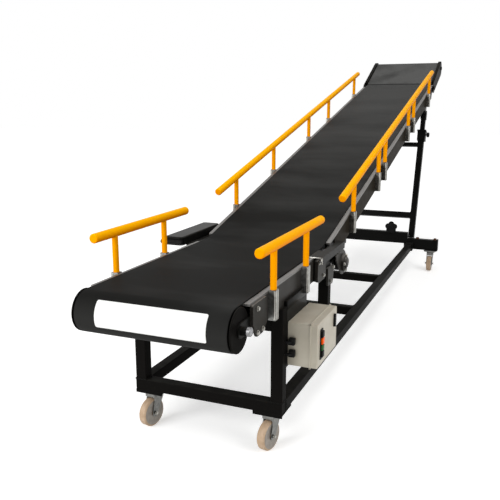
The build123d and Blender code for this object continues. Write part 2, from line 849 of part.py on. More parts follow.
# Guard on the left of the knee, on two bent arms from the upright
guard_u = infeed_length - guard_lead
guard_bottom = infeed_height + guard_rise - guard_thickness
guard_right = -(outer_face + guard_gap)
with BuildPart() as side_guard:
    with BuildSketch(Plane.XY.offset(guard_bottom)):
        with Locations((guard_right - guard_width / 2, front_y + guard_u + guard_length / 2)):
            RectangleRounded(guard_width, guard_length, guard_corner)
    extrude(amount=guard_thickness)
    fillet(side_guard.edges().group_by(Axis.Z)[-1], guard_round)
keep(side_guard.part, "side_guard")
arm_outer = guard_right - guard_arm_seat
arm_z = knee_z + channel_bottom - guard_arm_drop
post_foot = arm_z - guard_arm / 2
with BuildPart() as guard_arms:
    for u in (mid_upright_u, mid_upright_u + tube - guard_arm):
        with BuildSketch(section_plane(level, u)):
            with Locations(((arm_outer - base_half) / 2, arm_z)):
                Rectangle(-base_half - arm_outer, guard_arm)
            with Locations((arm_outer + guard_arm / 2, (post_foot + guard_bottom) / 2)):
                Rectangle(guard_arm, guard_bottom - post_foot)
        extrude(amount=-guard_arm)
keep(guard_arms.part, "guard_arms")

# Folded cover on the right of the knee: it lies on the infeed's bed and passes outside the boom
cover_inner = belt_half + belt_side_gap
cover_outer = cover_inner + cover_width
cover_start = infeed_length - cover_lead
cover_bottom = knee_z + bed_top
cover_z = (cover_bottom, cover_bottom + cover_thickness)
seat_end = infeed_length - nose_set - bed_end_gap
with BuildPart() as knee_cover:
    add(block((cover_inner, cover_outer), (cover_start, seat_end), cover_z))
    add(block((channel_half + cover_gap, cover_outer), (seat_end, infeed_length + cover_tail), cover_z))
    add(block(
        (cover_outer - cover_thickness, cover_outer), (cover_start, infeed_length + cover_tail),
        (cover_bottom - cover_lip, cover_bottom),
    ))
keep(knee_cover.part, "knee_cover")

# Control box on its panel
box_u = front_beam_end + box_gap
box_side = base_half + box_depth
lid_x = box_side - lid_thickness
panel_u = (front_beam_end, box_u + box_length - panel_inset)
panel_z = (box_bottom - panel_foot, knee_z + channel_bottom - panel_top_gap)
keep(block((base_half - panel_thickness, base_half), panel_u, panel_z), "control_panel")
box_middle = box_bottom + box_height / 2
with BuildPart() as control_box:
    with BuildSketch(level.offset(base_half)):
        with Locations((box_u + box_length / 2, box_middle)):
            RectangleRounded(box_length, box_height, box_round)
    extrude(amount=lid_x - base_half)
keep(control_box.part, "control_box")
with BuildPart() as control_lid:
    with BuildSketch(level.offset(lid_x)):
        with Locations((box_u + box_length / 2, box_middle)):
            RectangleRounded(box_length, box_height, box_round)
    extrude(amount=lid_thickness)
    fillet(control_lid.edges().group_by(Axis.X)[-1], lid_round)
keep(control_lid.part, "control_lid")
button_u = box_u + button_inset
button_rows = button_count - 1
button_plate_height = button_rows * button_pitch + 2 * (button_radius + button_plate_margin)
with BuildPart() as button_plate:
    with BuildSketch(level.offset(box_side)):
        with Locations((button_u, box_middle)):
            RectangleRounded(button_plate_width, button_plate_height, lid_round)
    extrude(amount=button_plate_thickness)
keep(button_plate.part, "button_plate")
with BuildPart() as push_buttons:
    with BuildSketch(level.offset(box_side + button_plate_thickness)):
        with Locations((button_u, box_middle)):
            with GridLocations(0, button_pitch, 1, button_count):
                Circle(button_radius)
    extrude(amount=button_length)
keep(push_buttons.part, "push_buttons")
with BuildPart() as lid_lock:
    with BuildSketch(level.offset(box_side)):
        with Locations((box_u + box_length - lock_inset, box_bottom + lock_rise)):
            RectangleRounded(lock_width, lock_height, lid_round)
    extrude(amount=lock_depth)
keep(lid_lock.part, "lid_lock")

# Cable glands on the box, with leads that bend into the front upright
gland_x = base_half + gland_inset
gland_end = box_u - gland_length
with BuildPart() as cable_glands:
    for z in (box_bottom + gland_rise, box_bottom + gland_rise + gland_pitch):
        with BuildSketch(section_plane(level, box_u)):
            with Locations((gland_x, z)):
                RegularPolygon(gland_radius, gland_sides)
        extrude(amount=gland_length)
        with BuildLine(Plane.XY.offset(z)) as route:
            JernArc((gland_x, front_y + gland_end), (0, -1), lead_bend, -right_angle)
            Line(
                (gland_x - lead_bend, front_y + gland_end - lead_bend),
                (base_half, front_y + gland_end - lead_bend),
            )
        with BuildSketch(section_plane(level, gland_end)):
            with Locations((gland_x, z)):
                Circle(lead_radius)
        sweep(path=route.line)
keep(cable_glands.part, "cable_glands")

# Five-lobed hand knob in front of the rear beam, on a stem through a bracket on the beam's top
knob_z = middle_beam_top + knob_rise
bracket_u = rear_beam_u + (tube - knob_bracket_thickness) / 2
knob_back = rear_beam_u - knob_gap
with BuildPart() as hand_knob:
    with BuildSketch(section_plane(level, bracket_u)):
        with Locations((knob_x, knob_z)):
            Circle(knob_bracket_half)
        with Locations((knob_x, middle_beam_top + knob_rise / 2)):
            Rectangle(2 * knob_bracket_half, knob_rise)
    extrude(amount=-knob_bracket_thickness)
    with BuildSketch(section_plane(level, bracket_u)):
        with Locations((knob_x, knob_z)):
            Circle(knob_stem_radius)
    extrude(amount=bracket_u - knob_back)
    with BuildSketch(section_plane(level, knob_back)):
        with Locations((knob_x, knob_z)):
            Circle(knob_radius)
            with PolarLocations(knob_radius, knob_lobes, start_angle=right_angle):
                Circle(knob_lobe_radius)
    extrude(amount=knob_thickness)
keep(hand_knob.part, "hand_knob")
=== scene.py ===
import json
import math
import bmesh
import bpy
from mathutils import Matrix, Vector
from mathutils.geometry import convex_hull_2d


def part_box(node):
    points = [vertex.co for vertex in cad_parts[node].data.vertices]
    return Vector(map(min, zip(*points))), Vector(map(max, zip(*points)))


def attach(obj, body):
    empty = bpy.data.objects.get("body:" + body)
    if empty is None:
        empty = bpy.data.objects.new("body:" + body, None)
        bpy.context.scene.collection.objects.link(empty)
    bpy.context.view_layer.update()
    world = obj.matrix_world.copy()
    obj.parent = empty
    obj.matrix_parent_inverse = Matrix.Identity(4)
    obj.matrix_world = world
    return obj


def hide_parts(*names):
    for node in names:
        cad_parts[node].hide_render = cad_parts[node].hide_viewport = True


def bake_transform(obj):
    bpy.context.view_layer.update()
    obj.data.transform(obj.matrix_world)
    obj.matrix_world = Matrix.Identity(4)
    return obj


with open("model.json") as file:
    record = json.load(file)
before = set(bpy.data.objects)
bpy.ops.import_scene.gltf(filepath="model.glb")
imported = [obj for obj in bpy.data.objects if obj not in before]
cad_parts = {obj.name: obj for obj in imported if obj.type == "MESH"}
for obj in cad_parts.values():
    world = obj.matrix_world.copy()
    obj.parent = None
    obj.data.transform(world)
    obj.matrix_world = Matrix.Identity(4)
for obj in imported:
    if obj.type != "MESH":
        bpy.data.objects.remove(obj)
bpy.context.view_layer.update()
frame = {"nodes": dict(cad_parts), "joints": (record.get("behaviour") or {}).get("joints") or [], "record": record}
nodes = frame["nodes"]
joints = {joint["name"]: joint for joint in frame["joints"]}
scene = bpy.context.scene
mm = 0.001
sides = (-1, 1)
print("frame loaded:", len(nodes), "nodes")

# Places that most pieces share: the hinges, the front drum's axis, and the slopes of boom, head and legs
knee, headHinge, legPin = (Vector(joints[name]["pos_m"]) for name in ("boom_lift", "head_tilt", "leg_swing"))
drumAxis = sum(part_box("front_drum"), Vector()) / 2
boomSlope = math.atan2(headHinge.z - knee.z, headHinge.y - knee.y)
headSlope, legSlope = math.radians(25), math.radians(70.74)
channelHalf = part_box("boom_channels")[1].x
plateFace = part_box("side_plates")[1].x
casterNames = ("front_left", "front_right", "rear_left", "rear_right")


def upSlope(origin, slope):
    # Gives a function from a distance up a slope, a height square to it and an x to a point
    c, d = math.cos(slope), math.sin(slope)

    def place(s, h=0.0, x=0.0):
        return Vector((x, origin.y + s * c - h * d, origin.z + s * d + h * c))

    return place


onInfeed, onBoom = upSlope(knee, 0), upSlope(knee, boomSlope)
onHead, onLeg = upSlope(headHinge, headSlope), upSlope(legPin, legSlope)


def linear(hexText):
    # sRGB hex to the linear colour that shaders take
    channels = [int(hexText[i:i + 2], 16) / 255 for i in (1, 3, 5)]
    return [c / 12.92 if c <= 0.04045 else ((c + 0.055) / 1.055) ** 2.4 for c in channels] + [1.0]


def addNode(tree, kind, inputs=None, **settings):
    # Adds one node: settings are its own options, inputs hold plain values or sockets to link
    node = tree.nodes.new(kind)
    for name, value in settings.items():
        setattr(node, name, value)
    for key, value in (inputs or {}).items():
        if isinstance(value, bpy.types.NodeSocket):
            tree.links.new(value, node.inputs[key])
        else:
            node.inputs[key].default_value = value
    return node


def startMaterial(name, **surface):
    # Material with a Principled shader whose plain values are set on its own sockets
    material = bpy.data.materials.new(name)
    material.use_nodes = True
    tree = material.node_tree
    shader = tree.nodes["Principled BSDF"]
    for key, value in surface.items():
        shader.inputs[key.replace("_", " ")].default_value = value
    place = addNode(tree, "ShaderNodeTexCoord").outputs["Object"]
    return material, tree, shader, place


def paintOver(tree, colour, hexText, factor, low, high):
    # Lays a hex colour over another colour as the factor goes from low to high
    share = addNode(tree, "ShaderNodeMapRange", {"Value": factor, "From Min": low, "From Max": high})
    # Sockets 0, 6 and 7 are the mix node's factor and its two colours
    return addNode(
        tree, "ShaderNodeMix", {0: share.outputs["Result"], 6: colour, 7: linear(hexText)}, data_type="RGBA",
    ).outputs[2]


def finishSurface(tree, shader, colour, rough=None, bump=None):
    # Links the colour, a roughness of (factor, low, high) and a bump of (height, strength, distance)
    tree.links.new(colour, shader.inputs["Base Color"])
    if rough:
        level = addNode(tree, "ShaderNodeMapRange", dict(zip(("Value", "To Min", "To Max"), rough)))
        tree.links.new(level.outputs["Result"], shader.inputs["Roughness"])
    if bump:
        grain = addNode(tree, "ShaderNodeBump", dict(zip(("Height", "Strength", "Distance"), bump)))
        tree.links.new(grain.outputs["Normal"], shader.inputs["Normal"])


# One belt over all the rollers, in two lengths that meet on the boom, one round each hinge
beltSizes = {
    "width": 600 * mm, "thickness": 5 * mm, "edge": 1.2 * mm, "step": 16 * mm, "turnStep": math.radians(5),
    "joinS": 1835 * mm, "noseRadius": 30 * mm, "drumRadius": 75 * mm,
    "headDrum": (520 * mm, -20 * mm), "headDrumRadius": 50 * mm,
    "drive": (178 * mm, -121 * mm), "driveRadius": 45 * mm,
    "snubRadius": 25 * mm, "snubH": -60 * mm, "snubStep": 80 * mm, "frontSnub": 200 * mm,
    "kneeSag": 260 * mm, "headSag": 45 * mm, "reach": 80 * mm,
}
# Rubber-covered belting, calendered: dull charcoal, soft cross bands, a painted highlight round the front drum,
# painted light paling it up the boom and on the head, rubbed blotches there, painted shade in the hollow before it
beltLook = {
    "dark": "#191918", "light": "#212120", "bandSpan": (0.3, 0.7), "bandMm": 260, "bandStretch": 2.6,
    "paintedLightUp": "#444443", "paintedLightUpFrom": 0.71, "paintedLightUpTo": 1.48, "bandShare": 0.9,
    "drumHighlight": "#292928", "drumHighlightSpan": (0.715, 0.64), "head": "#565655", "headLightFrom": 1.575, "headLightTo": 1.59,
    "rubbed": "#414140", "rubbedSpan": (0.42, 0.72), "rubMm": 230, "creaseShade": "#141413", "creaseShadeHeight": 7 * mm,
    "clothMm": 2.6, "clothBump": (0.25, 0.4 * mm), "roughness": (0.5, 0.66), "gloss": 0.012,
}


def makeBeltRubber():
    look = beltLook
    material, tree, shader, place = startMaterial(
        "calenderedBeltRubber", IOR=1.5, Specular_IOR_Level=look["gloss"],
    )
    stretched = addNode(
        tree, "ShaderNodeMapping", {"Vector": place, "Scale": (1 / look["bandStretch"], 1, 1)},
    ).outputs["Vector"]
    bands, blotches, cloth = (
        addNode(
            tree, "ShaderNodeTexNoise", {"Vector": spread, "Scale": 1 / (look[size] * mm), "Detail": detail},
        ).outputs["Fac"]
        for spread, size, detail in (
            (stretched, "bandMm", 3.0), (place, "rubMm", 3.0), (place, "clothMm", 1.0),
        )
    )
    height = addNode(tree, "ShaderNodeSeparateXYZ", {"Vector": place}).outputs["Z"]
    # Painted light: the belt grows paler with height, and this comes and goes with the bands
    paintedLightUpShare = addNode(
        tree, "ShaderNodeMath", {0: bands, 1: look["bandShare"], 2: height}, operation="MULTIPLY_ADD",
    ).outputs["Value"]
    middle = look["bandShare"] / 2
    # Painted shade: a dark line across the belt in the hollow where boom and head meet
    hollow = headHinge.z + beltSizes["noseRadius"] / math.cos(headSlope) + beltSizes["thickness"]
    away = addNode(tree, "ShaderNodeMath", {0: height, 1: hollow}, operation="SUBTRACT").outputs["Value"]
    creaseShade = addNode(tree, "ShaderNodeMath", {0: away}, operation="ABSOLUTE").outputs["Value"]
    # Painted light: the belt above the head hinge is paler
    headLightShare = addNode(
        tree, "ShaderNodeMapRange",
        {"Value": height, "From Min": look["headLightFrom"], "From Max": look["headLightTo"]},
    ).outputs["Result"]
    rubbed = addNode(tree, "ShaderNodeMath", {0: headLightShare, 1: blotches}, operation="MULTIPLY").outputs["Value"]
    colour = linear(look["dark"])
    for layer, factor, low, high in (
        ("light", bands, *look["bandSpan"]),
        # Painted light, paler up the boom
        ("paintedLightUp", paintedLightUpShare, look["paintedLightUpFrom"] + middle, look["paintedLightUpTo"] + middle),
        # Painted highlight, paler low on the belt where it bends round the front drum
        ("drumHighlight", height, *look["drumHighlightSpan"]),
        # Painted light on the head
        ("head", headLightShare, 0.0, 1.0),
        ("rubbed", rubbed, *look["rubbedSpan"]),
        # Painted shade line in the hollow
        ("creaseShade", creaseShade, look["creaseShadeHeight"], 0.0),
    ):
        colour = paintOver(tree, colour, look[layer], factor, low, high)
    finishSurface(tree, shader, colour, (bands, *look["roughness"]), (cloth, *look["clothBump"]))
    return material


# Sprayed enamel on steel tube: near black, clear highlights, slight orange peel, dust and painted light on upper
# faces
enamelLook = {
    "peelMm": 3, "peelBump": (0.06, 0.3 * mm), "dustAndLightMm": 60, "dustAndLightFrom": 0.12, "dustAndLightSpan": 0.5,
    "roughness": (0.26, 0.4), "gloss": 0.03,
}


def makeEnamel(name, paint, dustAndLight, dustAndLightShare, gloss=enamelLook["gloss"]):
    look = enamelLook
    material, tree, shader, place = startMaterial(name, IOR=1.5, Specular_IOR_Level=gloss)
    peel, patches = (
        addNode(
            tree, "ShaderNodeTexNoise", {"Vector": place, "Scale": 1 / (look[size] * mm), "Detail": detail},
        ).outputs["Fac"]
        for size, detail in (("peelMm", 1.0), ("dustAndLightMm", 4.0))
    )
    normal = addNode(tree, "ShaderNodeNewGeometry").outputs["Normal"]
    upward = addNode(tree, "ShaderNodeSeparateXYZ", {"Vector": normal}).outputs["Z"]
    # Dust and painted light: upward faces paler, in patches
    upwardDustAndLight = addNode(tree, "ShaderNodeMath", {0: upward, 1: patches}, operation="MULTIPLY").outputs["Value"]
    low, high = look["dustAndLightFrom"], look["dustAndLightFrom"] + look["dustAndLightSpan"] / dustAndLightShare
    colour = paintOver(tree, linear(paint), dustAndLight, upwardDustAndLight, low, high)
    finishSurface(tree, shader, colour, (patches, *look["roughness"]), (peel, *look["peelBump"]))
    return material


# Zinc electroplate on pressed steel: plain grey, soft spangle, half-dull
zincLook = {"spangleMm": 9, "span": (0.1, 0.9), "roughness": (0.3, 0.42)}


def makeZinc(name, dark, light):
    material, tree, shader, place = startMaterial(name, Metallic=1.0)
    spangle = addNode(
        tree, "ShaderNodeTexVoronoi", {"Vector": place, "Scale": 1 / (zincLook["spangleMm"] * mm)},
    )
    grey = addNode(tree, "ShaderNodeRGBToBW", {"Color": spangle.outputs["Color"]}).outputs["Val"]
    colour = paintOver(tree, linear(dark), light, grey, *zincLook["span"])
    finishSurface(tree, shader, colour, (grey, *zincLook["roughness"]))
    return material


# Turned steel roller tube: grey metal with fine tool rings square to its axis
turnedLook = {
    "dark": "#6e6e6c", "light": "#97979a", "span": (0.3, 0.7), "lineMm": 1.6, "stretch": 0.02, "detail": 2.0,
    "roughness": (0.28, 0.42),
}
# Cold-rolled sheet polished by the belt: grey metal with long scratches along the run
sheetLook = {
    "dark": "#6a6866", "light": "#858380", "span": (0.3, 0.7), "lineMm": 4, "stretch": 0.03, "detail": 5.0,
    "roughness": (0.4, 0.6),
}


def makeLinedSteel(name, look):
    # Noise that is fine across x and long square to it gives the rings and the scratches
    material, tree, shader, place = startMaterial(name, Metallic=1.0)
    stretched = addNode(
        tree, "ShaderNodeMapping", {"Vector": place, "Scale": (1, look["stretch"], look["stretch"])},
    ).outputs["Vector"]
    lines = addNode(
        tree, "ShaderNodeTexNoise",
        {"Vector": stretched, "Scale": 1 / (look["lineMm"] * mm), "Detail": look["detail"]},
    ).outputs["Fac"]
    colour = paintOver(tree, linear(look["dark"]), look["light"], lines, *look["span"])
    finishSurface(tree, shader, colour, (lines, *look["roughness"]))
    return material


# Amber gloss enamel on round tube: saturated, painted highlight yellow on top, painted shade orange underneath,
# with runs
amberLook = {
    "highlightYellow": "#ffb400", "shadeOrange": "#ec8600", "span": (-0.5, 0.9), "runMm": 160, "runShare": 0.25,
    "peelMm": 2.5, "peelBump": (0.02, 0.3 * mm), "roughness": 0.32, "gloss": 0.006,
}


def makeAmberEnamel():
    look = amberLook
    material, tree, shader, place = startMaterial(
        "amberGlossEnamel", IOR=1.5, Roughness=look["roughness"], Specular_IOR_Level=look["gloss"],
    )
    runs, peel = (
        addNode(
            tree, "ShaderNodeTexNoise", {"Vector": place, "Scale": 1 / (look[size] * mm), "Detail": 1.0},
        ).outputs["Fac"]
        for size in ("runMm", "peelMm")
    )
    normal = addNode(tree, "ShaderNodeNewGeometry").outputs["Normal"]
    upward = addNode(tree, "ShaderNodeSeparateXYZ", {"Vector": normal}).outputs["Z"]
    # Painted light: yellower on upward faces, deeper orange on downward ones, with the runs mixed in
    depth = addNode(
        tree, "ShaderNodeMath", {0: runs, 1: look["runShare"], 2: upward}, operation="MULTIPLY_ADD",
    ).outputs["Value"]
    colour = paintOver(tree, linear(look["shadeOrange"]), look["highlightYellow"], depth, *look["span"])
    finishSurface(tree, shader, colour, bump=(peel, *look["peelBump"]))
    return material


# Cast, coated and moulded skins: soft colour patches over a fine pebbled bump
skinLook = {"span": (0.35, 0.65), "pebbleBump": (0.08, 0.3 * mm)}
# Material, two colours, roughness, patches in mm, pebbles in mm and gloss
skins = {
    # Cast polyurethane: tan, satin, a little darker where it has rolled in dirt
    "castTread": ("castPolyurethane", "#c0a68b", "#b0967b", (0.42, 0.6), 30, 2.0, 0.3),
    # Moulded grey nylon: satin and slightly cloudy
    "hubNylon": ("greyHubNylon", "#8f8880", "#9d968d", (0.4, 0.55), 20, 2.0, 0.3),
    # Rusted bolt steel: dull, red brown in small blotches
    "rustedSteel": ("rustedBoltSteel", "#3d281d", "#6a4531", (0.6, 0.8), 6, 2.0, 0.05),
    # Powder coat on sheet: beige grey with a fine pebbled skin
    "powderCoat": ("beigePowderCoat", "#b0a999", "#bab4a5", (0.4, 0.5), 80, 1.8, 0.3),
    # Moulded black nylon: dull with a fine spark-eroded grain
    "blackNylon": ("mouldedBlackNylon", "#131313", "#1b1b1b", (0.38, 0.52), 20, 1.2, 0.05),
    # Moulded polycarbonate: strong, even colour and a smooth face
    "stopCap": ("orangeRedButtonPolycarbonate", "#f8520a", "#ff6010", (0.2, 0.3), 20, 2.0, 0.04),
    "startCap": ("greenButtonPolycarbonate", "#2b5a30", "#34683a", (0.2, 0.3), 20, 2.0, 0.04),
    # Calendered vinyl: off-white, smooth, dimmed as painted shade, with faint patches
    "labelVinyl": ("whiteLabelVinyl", "#e6e6e4", "#eaeae8", (0.3, 0.4), 60, 2.0, 0.05),
}


def makeSkin(name, first, second, roughness, patchMm, pebbleMm, gloss):
    material, tree, shader, place = startMaterial(name, IOR=1.5, Specular_IOR_Level=gloss)
    patches, pebbles = (
        addNode(
            tree, "ShaderNodeTexNoise", {"Vector": place, "Scale": 1 / (size * mm), "Detail": detail},
        ).outputs["Fac"]
        for size, detail in ((patchMm, 4.0), (pebbleMm, 1.0))
    )
    colour = paintOver(tree, linear(first), second, patches, *skinLook["span"])
    finishSurface(tree, shader, colour, (patches, *roughness), (pebbles, *skinLook["pebbleBump"]))
    return material


looks = {
    "beltRubber": makeBeltRubber(),
    # Second colours are dust and painted light on upward faces
    "blackEnamel": makeEnamel("blackGlossEnamel", "#121211", "#2e2d2a", 0.6),
    "dullBlack": makeEnamel("dullBlackEnamel", "#141312", "#2e2d2a", 0.6, gloss=0.004),
    "greyEnamel": makeEnamel("darkGreyEnamel", "#2a2825", "#7d7974", 1.4),
    "dullEnamel": makeEnamel("dullUmberEnamel", "#29251f", "#7d7974", 1.4, gloss=0.003),
    "zinc": makeZinc("zincElectroplate", "#6b6b69", "#838380"),
    "dullZinc": makeZinc("weatheredZinc", "#454440", "#5b5954"),
    "brightZinc": makeZinc("brightZincFastenersAndHighlights", "#97958f", "#b9b7b1"),
    "turnedSteel": makeLinedSteel("turnedSteel", turnedLook),
    "wornSheet": makeLinedSteel("wornSheetSteel", sheetLook),
    "amberEnamel": makeAmberEnamel(),
    **{look: makeSkin(*skin) for look, skin in skins.items()},
}
slotLooks = {
    "belt": "beltRubber", "frame_paint": "blackEnamel", "channel_paint": "greyEnamel", "zinc": "zinc",
    "roller_steel": "turnedSteel", "bed_steel": "wornSheet", "rail_paint": "amberEnamel",
    "wheel_tread": "castTread", "box_paint": "powderCoat", "black_plastic": "blackNylon",
    "button_plastic": "startCap",
}
# The head's slider bed is painted; boom channels, sockets, head plates and base have lost their gloss
nodeLooks = {
    "head_bed": "blackEnamel", "boom_channels": "dullEnamel", "boom_sockets": "dullZinc",
    **dict.fromkeys(("head_plates", "base_rails", "cross_members", "front_beam", "uprights"), "dullBlack"),
}
for part in frame["record"]["subparts"]:
    mesh = nodes[part["node"]].data
    mesh.materials.clear()
    mesh.materials.append(looks[nodeLooks.get(part["node"], slotLooks[part["material_slot"]])])
print("materials made:", len(looks))


def finishPiece(name, bm, look, body, slotName, smooth=30):
    # Object at the origin with a plain mesh, faces outward and smooth up to an angle, that rides on one body
    bmesh.ops.remove_doubles(bm, verts=bm.verts, dist=0.001 * mm)
    bmesh.ops.recalc_face_normals(bm, faces=bm.faces)
    mesh = bpy.data.meshes.new(name)
    bm.to_mesh(mesh)
    bm.free()
    mesh.shade_smooth()
    mesh.set_sharp_from_angle(angle=math.radians(smooth))
    mesh.materials.append(looks[look])
    piece = bpy.data.objects.new(name, mesh)
    scene.collection.objects.link(piece)
    if body:
        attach(piece, body)
    return piece


def circle(count):
    # Cosines and sines of even steps round a full turn
    return [(math.cos(2 * math.pi * i / count), math.sin(2 * math.pi * i / count)) for i in range(count)]


def skinRings(bm, rings):
    # Closed skin from each ring of points to the next, with a cap at both ends
    rings = [[bm.verts.new(point) for point in ring] for ring in rings]
    for lower, upper in zip(rings, rings[1:]):
        for i in range(len(lower)):
            bm.faces.new((lower[i - 1], lower[i], upper[i], upper[i - 1]))
    bm.faces.new(rings[0])
    bm.faces.new(rings[-1])


def lathe(bm, outline, point, axis, steps):
    # Turned shape from (radius, height) pairs in mm about an axis from a point
    place = Matrix.Translation(point) @ Vector(axis).to_track_quat("Z", "Y").to_matrix().to_4x4()
    skinRings(bm, [
        [place @ Vector((r * mm * c, r * mm * d, h * mm)) for c, d in circle(steps)] for r, h in outline
    ])


def softBox(bm, size, place, rounding, segments=2):
    # Box of a size in mm with rounded edges, put in place by a matrix
    shape = Matrix.Diagonal((*(length * mm for length in size), 1))
    made = bmesh.ops.create_cube(bm, size=1.0, matrix=place @ shape)
    edges = list({edge for vert in made["verts"] for edge in vert.link_edges})
    bmesh.ops.bevel(bm, geom=edges, offset=rounding * mm, segments=segments, affect="EDGES", profile=0.5)


def hullOf(discs, steps=28):
    # Outline round discs of ((s, h), radius) in mm
    spots = [
        Vector(((s + radius * c) * mm, (h + radius * d) * mm))
        for (s, h), radius in discs for c, d in circle(steps)
    ]
    return [spots[i] for i in convex_hull_2d(spots)]


def tongue(start, reach, half, steps=12):
    # Outline of a strip with a square start and a half-round end
    angles = [math.pi * (i / steps - 0.5) for i in range(steps + 1)]
    arc = [(reach + half * math.cos(angle), half * math.sin(angle)) for angle in angles]
    return [(start, -half), *arc, (start, half)]


def slab(bm, outline, place, depths):
    # Flat plate between two depths: place turns each outline point and a depth into a point in space
    skinRings(bm, [[place(s, h, depth) for s, h in outline] for depth in depths])


def flat(point):
    return (point.y, point.z)


def bendOver(hinge, radius, slopeBefore, slopeAfter):
    # Ring above a hollow bend, tangent to the belt's inner face on both sides
    middle = (slopeBefore + slopeAfter) / 2
    lift = (beltSizes["noseRadius"] + radius) / math.cos((slopeAfter - slopeBefore) / 2)
    return (hinge.y - lift * math.sin(middle), hinge.z + lift * math.cos(middle)), radius, -1


def beltRun(rings):
    # Points (y, z, heading) of the belt's inner face round rings of (centre, radius, turn)
    headings = []
    for (start, r0, t0), (end, r1, t1) in zip(rings, rings[1:]):
        dy, dz = end[0] - start[0], end[1] - start[1]
        headings.append(math.atan2(dz, dy) + math.asin((t1 * r1 - t0 * r0) / math.hypot(dy, dz)))

    def touch(ring, heading):
        (y, z), radius, turn = ring
        return y - turn * radius * math.sin(heading), z + turn * radius * math.cos(heading)

    run = []
    for i, heading in enumerate(headings):
        start, end = touch(rings[i], heading), touch(rings[i + 1], heading)
        count = max(2, math.ceil(math.dist(start, end) / beltSizes["step"]))
        for k in range(count + 1):
            share = k / count
            run.append((*(a + (b - a) * share for a, b in zip(start, end)), heading))
        if i + 1 < len(headings):
            turned = headings[i + 1] - heading
            turn = rings[i + 1][2]
            turned = -((-turned) % (2 * math.pi)) if turn == 1 else turned % (2 * math.pi)
            count = max(3, math.ceil(abs(turned) / beltSizes["turnStep"]))
            for k in range(1, count):
                angle = heading + turned * k / count
                run.append((*touch(rings[i + 1], angle), angle))
    return run


def beltLength(name, run):
    # Closed strip with rounded edges that follows the run
    half, edge, shadeOrange = beltSizes["width"] / 2, beltSizes["edge"], beltSizes["thickness"]
    section = [
        (-half, edge), (-half + edge, 0), (half - edge, 0), (half, edge),
        (half, shadeOrange - edge), (half - edge, shadeOrange), (-half + edge, shadeOrange), (-half, shadeOrange - edge),
    ]
    bm = bmesh.new()
    skinRings(bm, [
        [(x, y - h * math.sin(heading), z + h * math.cos(heading)) for x, h in section]
        for y, z, heading in run
    ])
    return finishPiece(name, bm, "beltRubber", None, "belt", smooth=40)


nose, joinS = beltSizes["noseRadius"], beltSizes["joinS"]
driveS, driveH = beltSizes["drive"]
snubStep, snubH = beltSizes["snubStep"], beltSizes["snubH"]
snub = beltSizes["snubRadius"] + beltSizes["thickness"]
lowerRings = [
    (flat(onBoom(joinS, -nose)), 0, 1),
    (flat(onBoom(driveS + snubStep, snubH)), snub, -1),
    (flat(onBoom(driveS, driveH)), beltSizes["driveRadius"], 1),
    (flat(onBoom(driveS - snubStep, snubH)), snub, -1),
    (flat(knee), nose, 1),
    ((drumAxis.y + beltSizes["frontSnub"], knee.z + snubH), snub, -1),
    (flat(drumAxis), beltSizes["drumRadius"], 1),
    bendOver(knee, beltSizes["kneeSag"], 0, boomSlope),
    (flat(onBoom(joinS, nose)), 0, 1),
]
upperRings = [
    (flat(onBoom(joinS, nose)), 0, 1),
    bendOver(headHinge, beltSizes["headSag"], boomSlope, headSlope),
    (flat(onHead(*beltSizes["headDrum"])), beltSizes["headDrumRadius"], 1),
    (flat(headHinge), nose, 1),
    (flat(onBoom(joinS, -nose)), 0, 1),
]
lowerBelt = beltLength("lowerBelt", beltRun(lowerRings))
upperBelt = beltLength("upperBelt", beltRun(upperRings))
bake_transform(lowerBelt)
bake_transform(upperBelt)
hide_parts("infeed_belt", "boom_belt")
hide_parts("head_belt")
print("belt made:", len(lowerBelt.data.polygons) + len(upperBelt.data.polygons), "faces")

# Blank vinyl label wrapped round the front of the belt
labelSizes = {
    "left": -212 * mm, "right": 224 * mm, "low": math.radians(-24), "high": math.radians(50),
    "corner": 7 * mm, "thickness": 0.5 * mm, "rows": 28,
}


def makeLabel():
    low, high, corner, count = (labelSizes[key] for key in ("low", "high", "corner", "rows"))
    inner = beltSizes["drumRadius"] + beltSizes["thickness"]
    outer = inner + labelSizes["thickness"]
    height = inner * (high - low)
    rows = []
    for i in range(count + 1):
        # Rows crowd at the two ends, where the corners are round
        share = (1 - math.cos(math.pi * i / count)) / 2
        inset = max(0.0, corner - min(share, 1 - share) * height)
        cut = corner - math.sqrt(max(corner ** 2 - inset ** 2, 0.0))
        angle = low + share * height / inner
        left, right = labelSizes["left"] + cut, labelSizes["right"] - cut
        rows.append([
            (x, drumAxis.y - r * math.cos(angle), drumAxis.z + r * math.sin(angle))
            for x, r in ((left, inner), (right, inner), (right, outer), (left, outer))
        ])
    bm = bmesh.new()
    skinRings(bm, rows)
    finishPiece("blankLabel", bm, "labelVinyl", "chassis", "box_paint")


makeLabel()
print("label made")


def startTree(name, sizes):
    # Node tree with a named input for each size and one for the finish
    tree = bpy.data.node_groups.new(name, "GeometryNodeTree")
    inputs = [("Geometry", "Geometry"), *((size, "Float") for size in sizes), ("Finish", "Material")]
    for label, kind in inputs:
        tree.interface.new_socket(label, in_out="INPUT", socket_type="NodeSocket" + kind)
    tree.interface.new_socket("Geometry", in_out="OUTPUT", socket_type="NodeSocketGeometry")
    return tree, addNode(tree, "NodeGroupInput").outputs


def endTree(tree, instances, finish):
    # Instances made real, in one material
    real = addNode(tree, "GeometryNodeRealizeInstances", {"Geometry": instances}).outputs["Geometry"]
    painted = addNode(tree, "GeometryNodeSetMaterial", {"Geometry": real, "Material": finish})
    addNode(tree, "NodeGroupOutput", {"Geometry": painted.outputs["Geometry"]})
    return tree


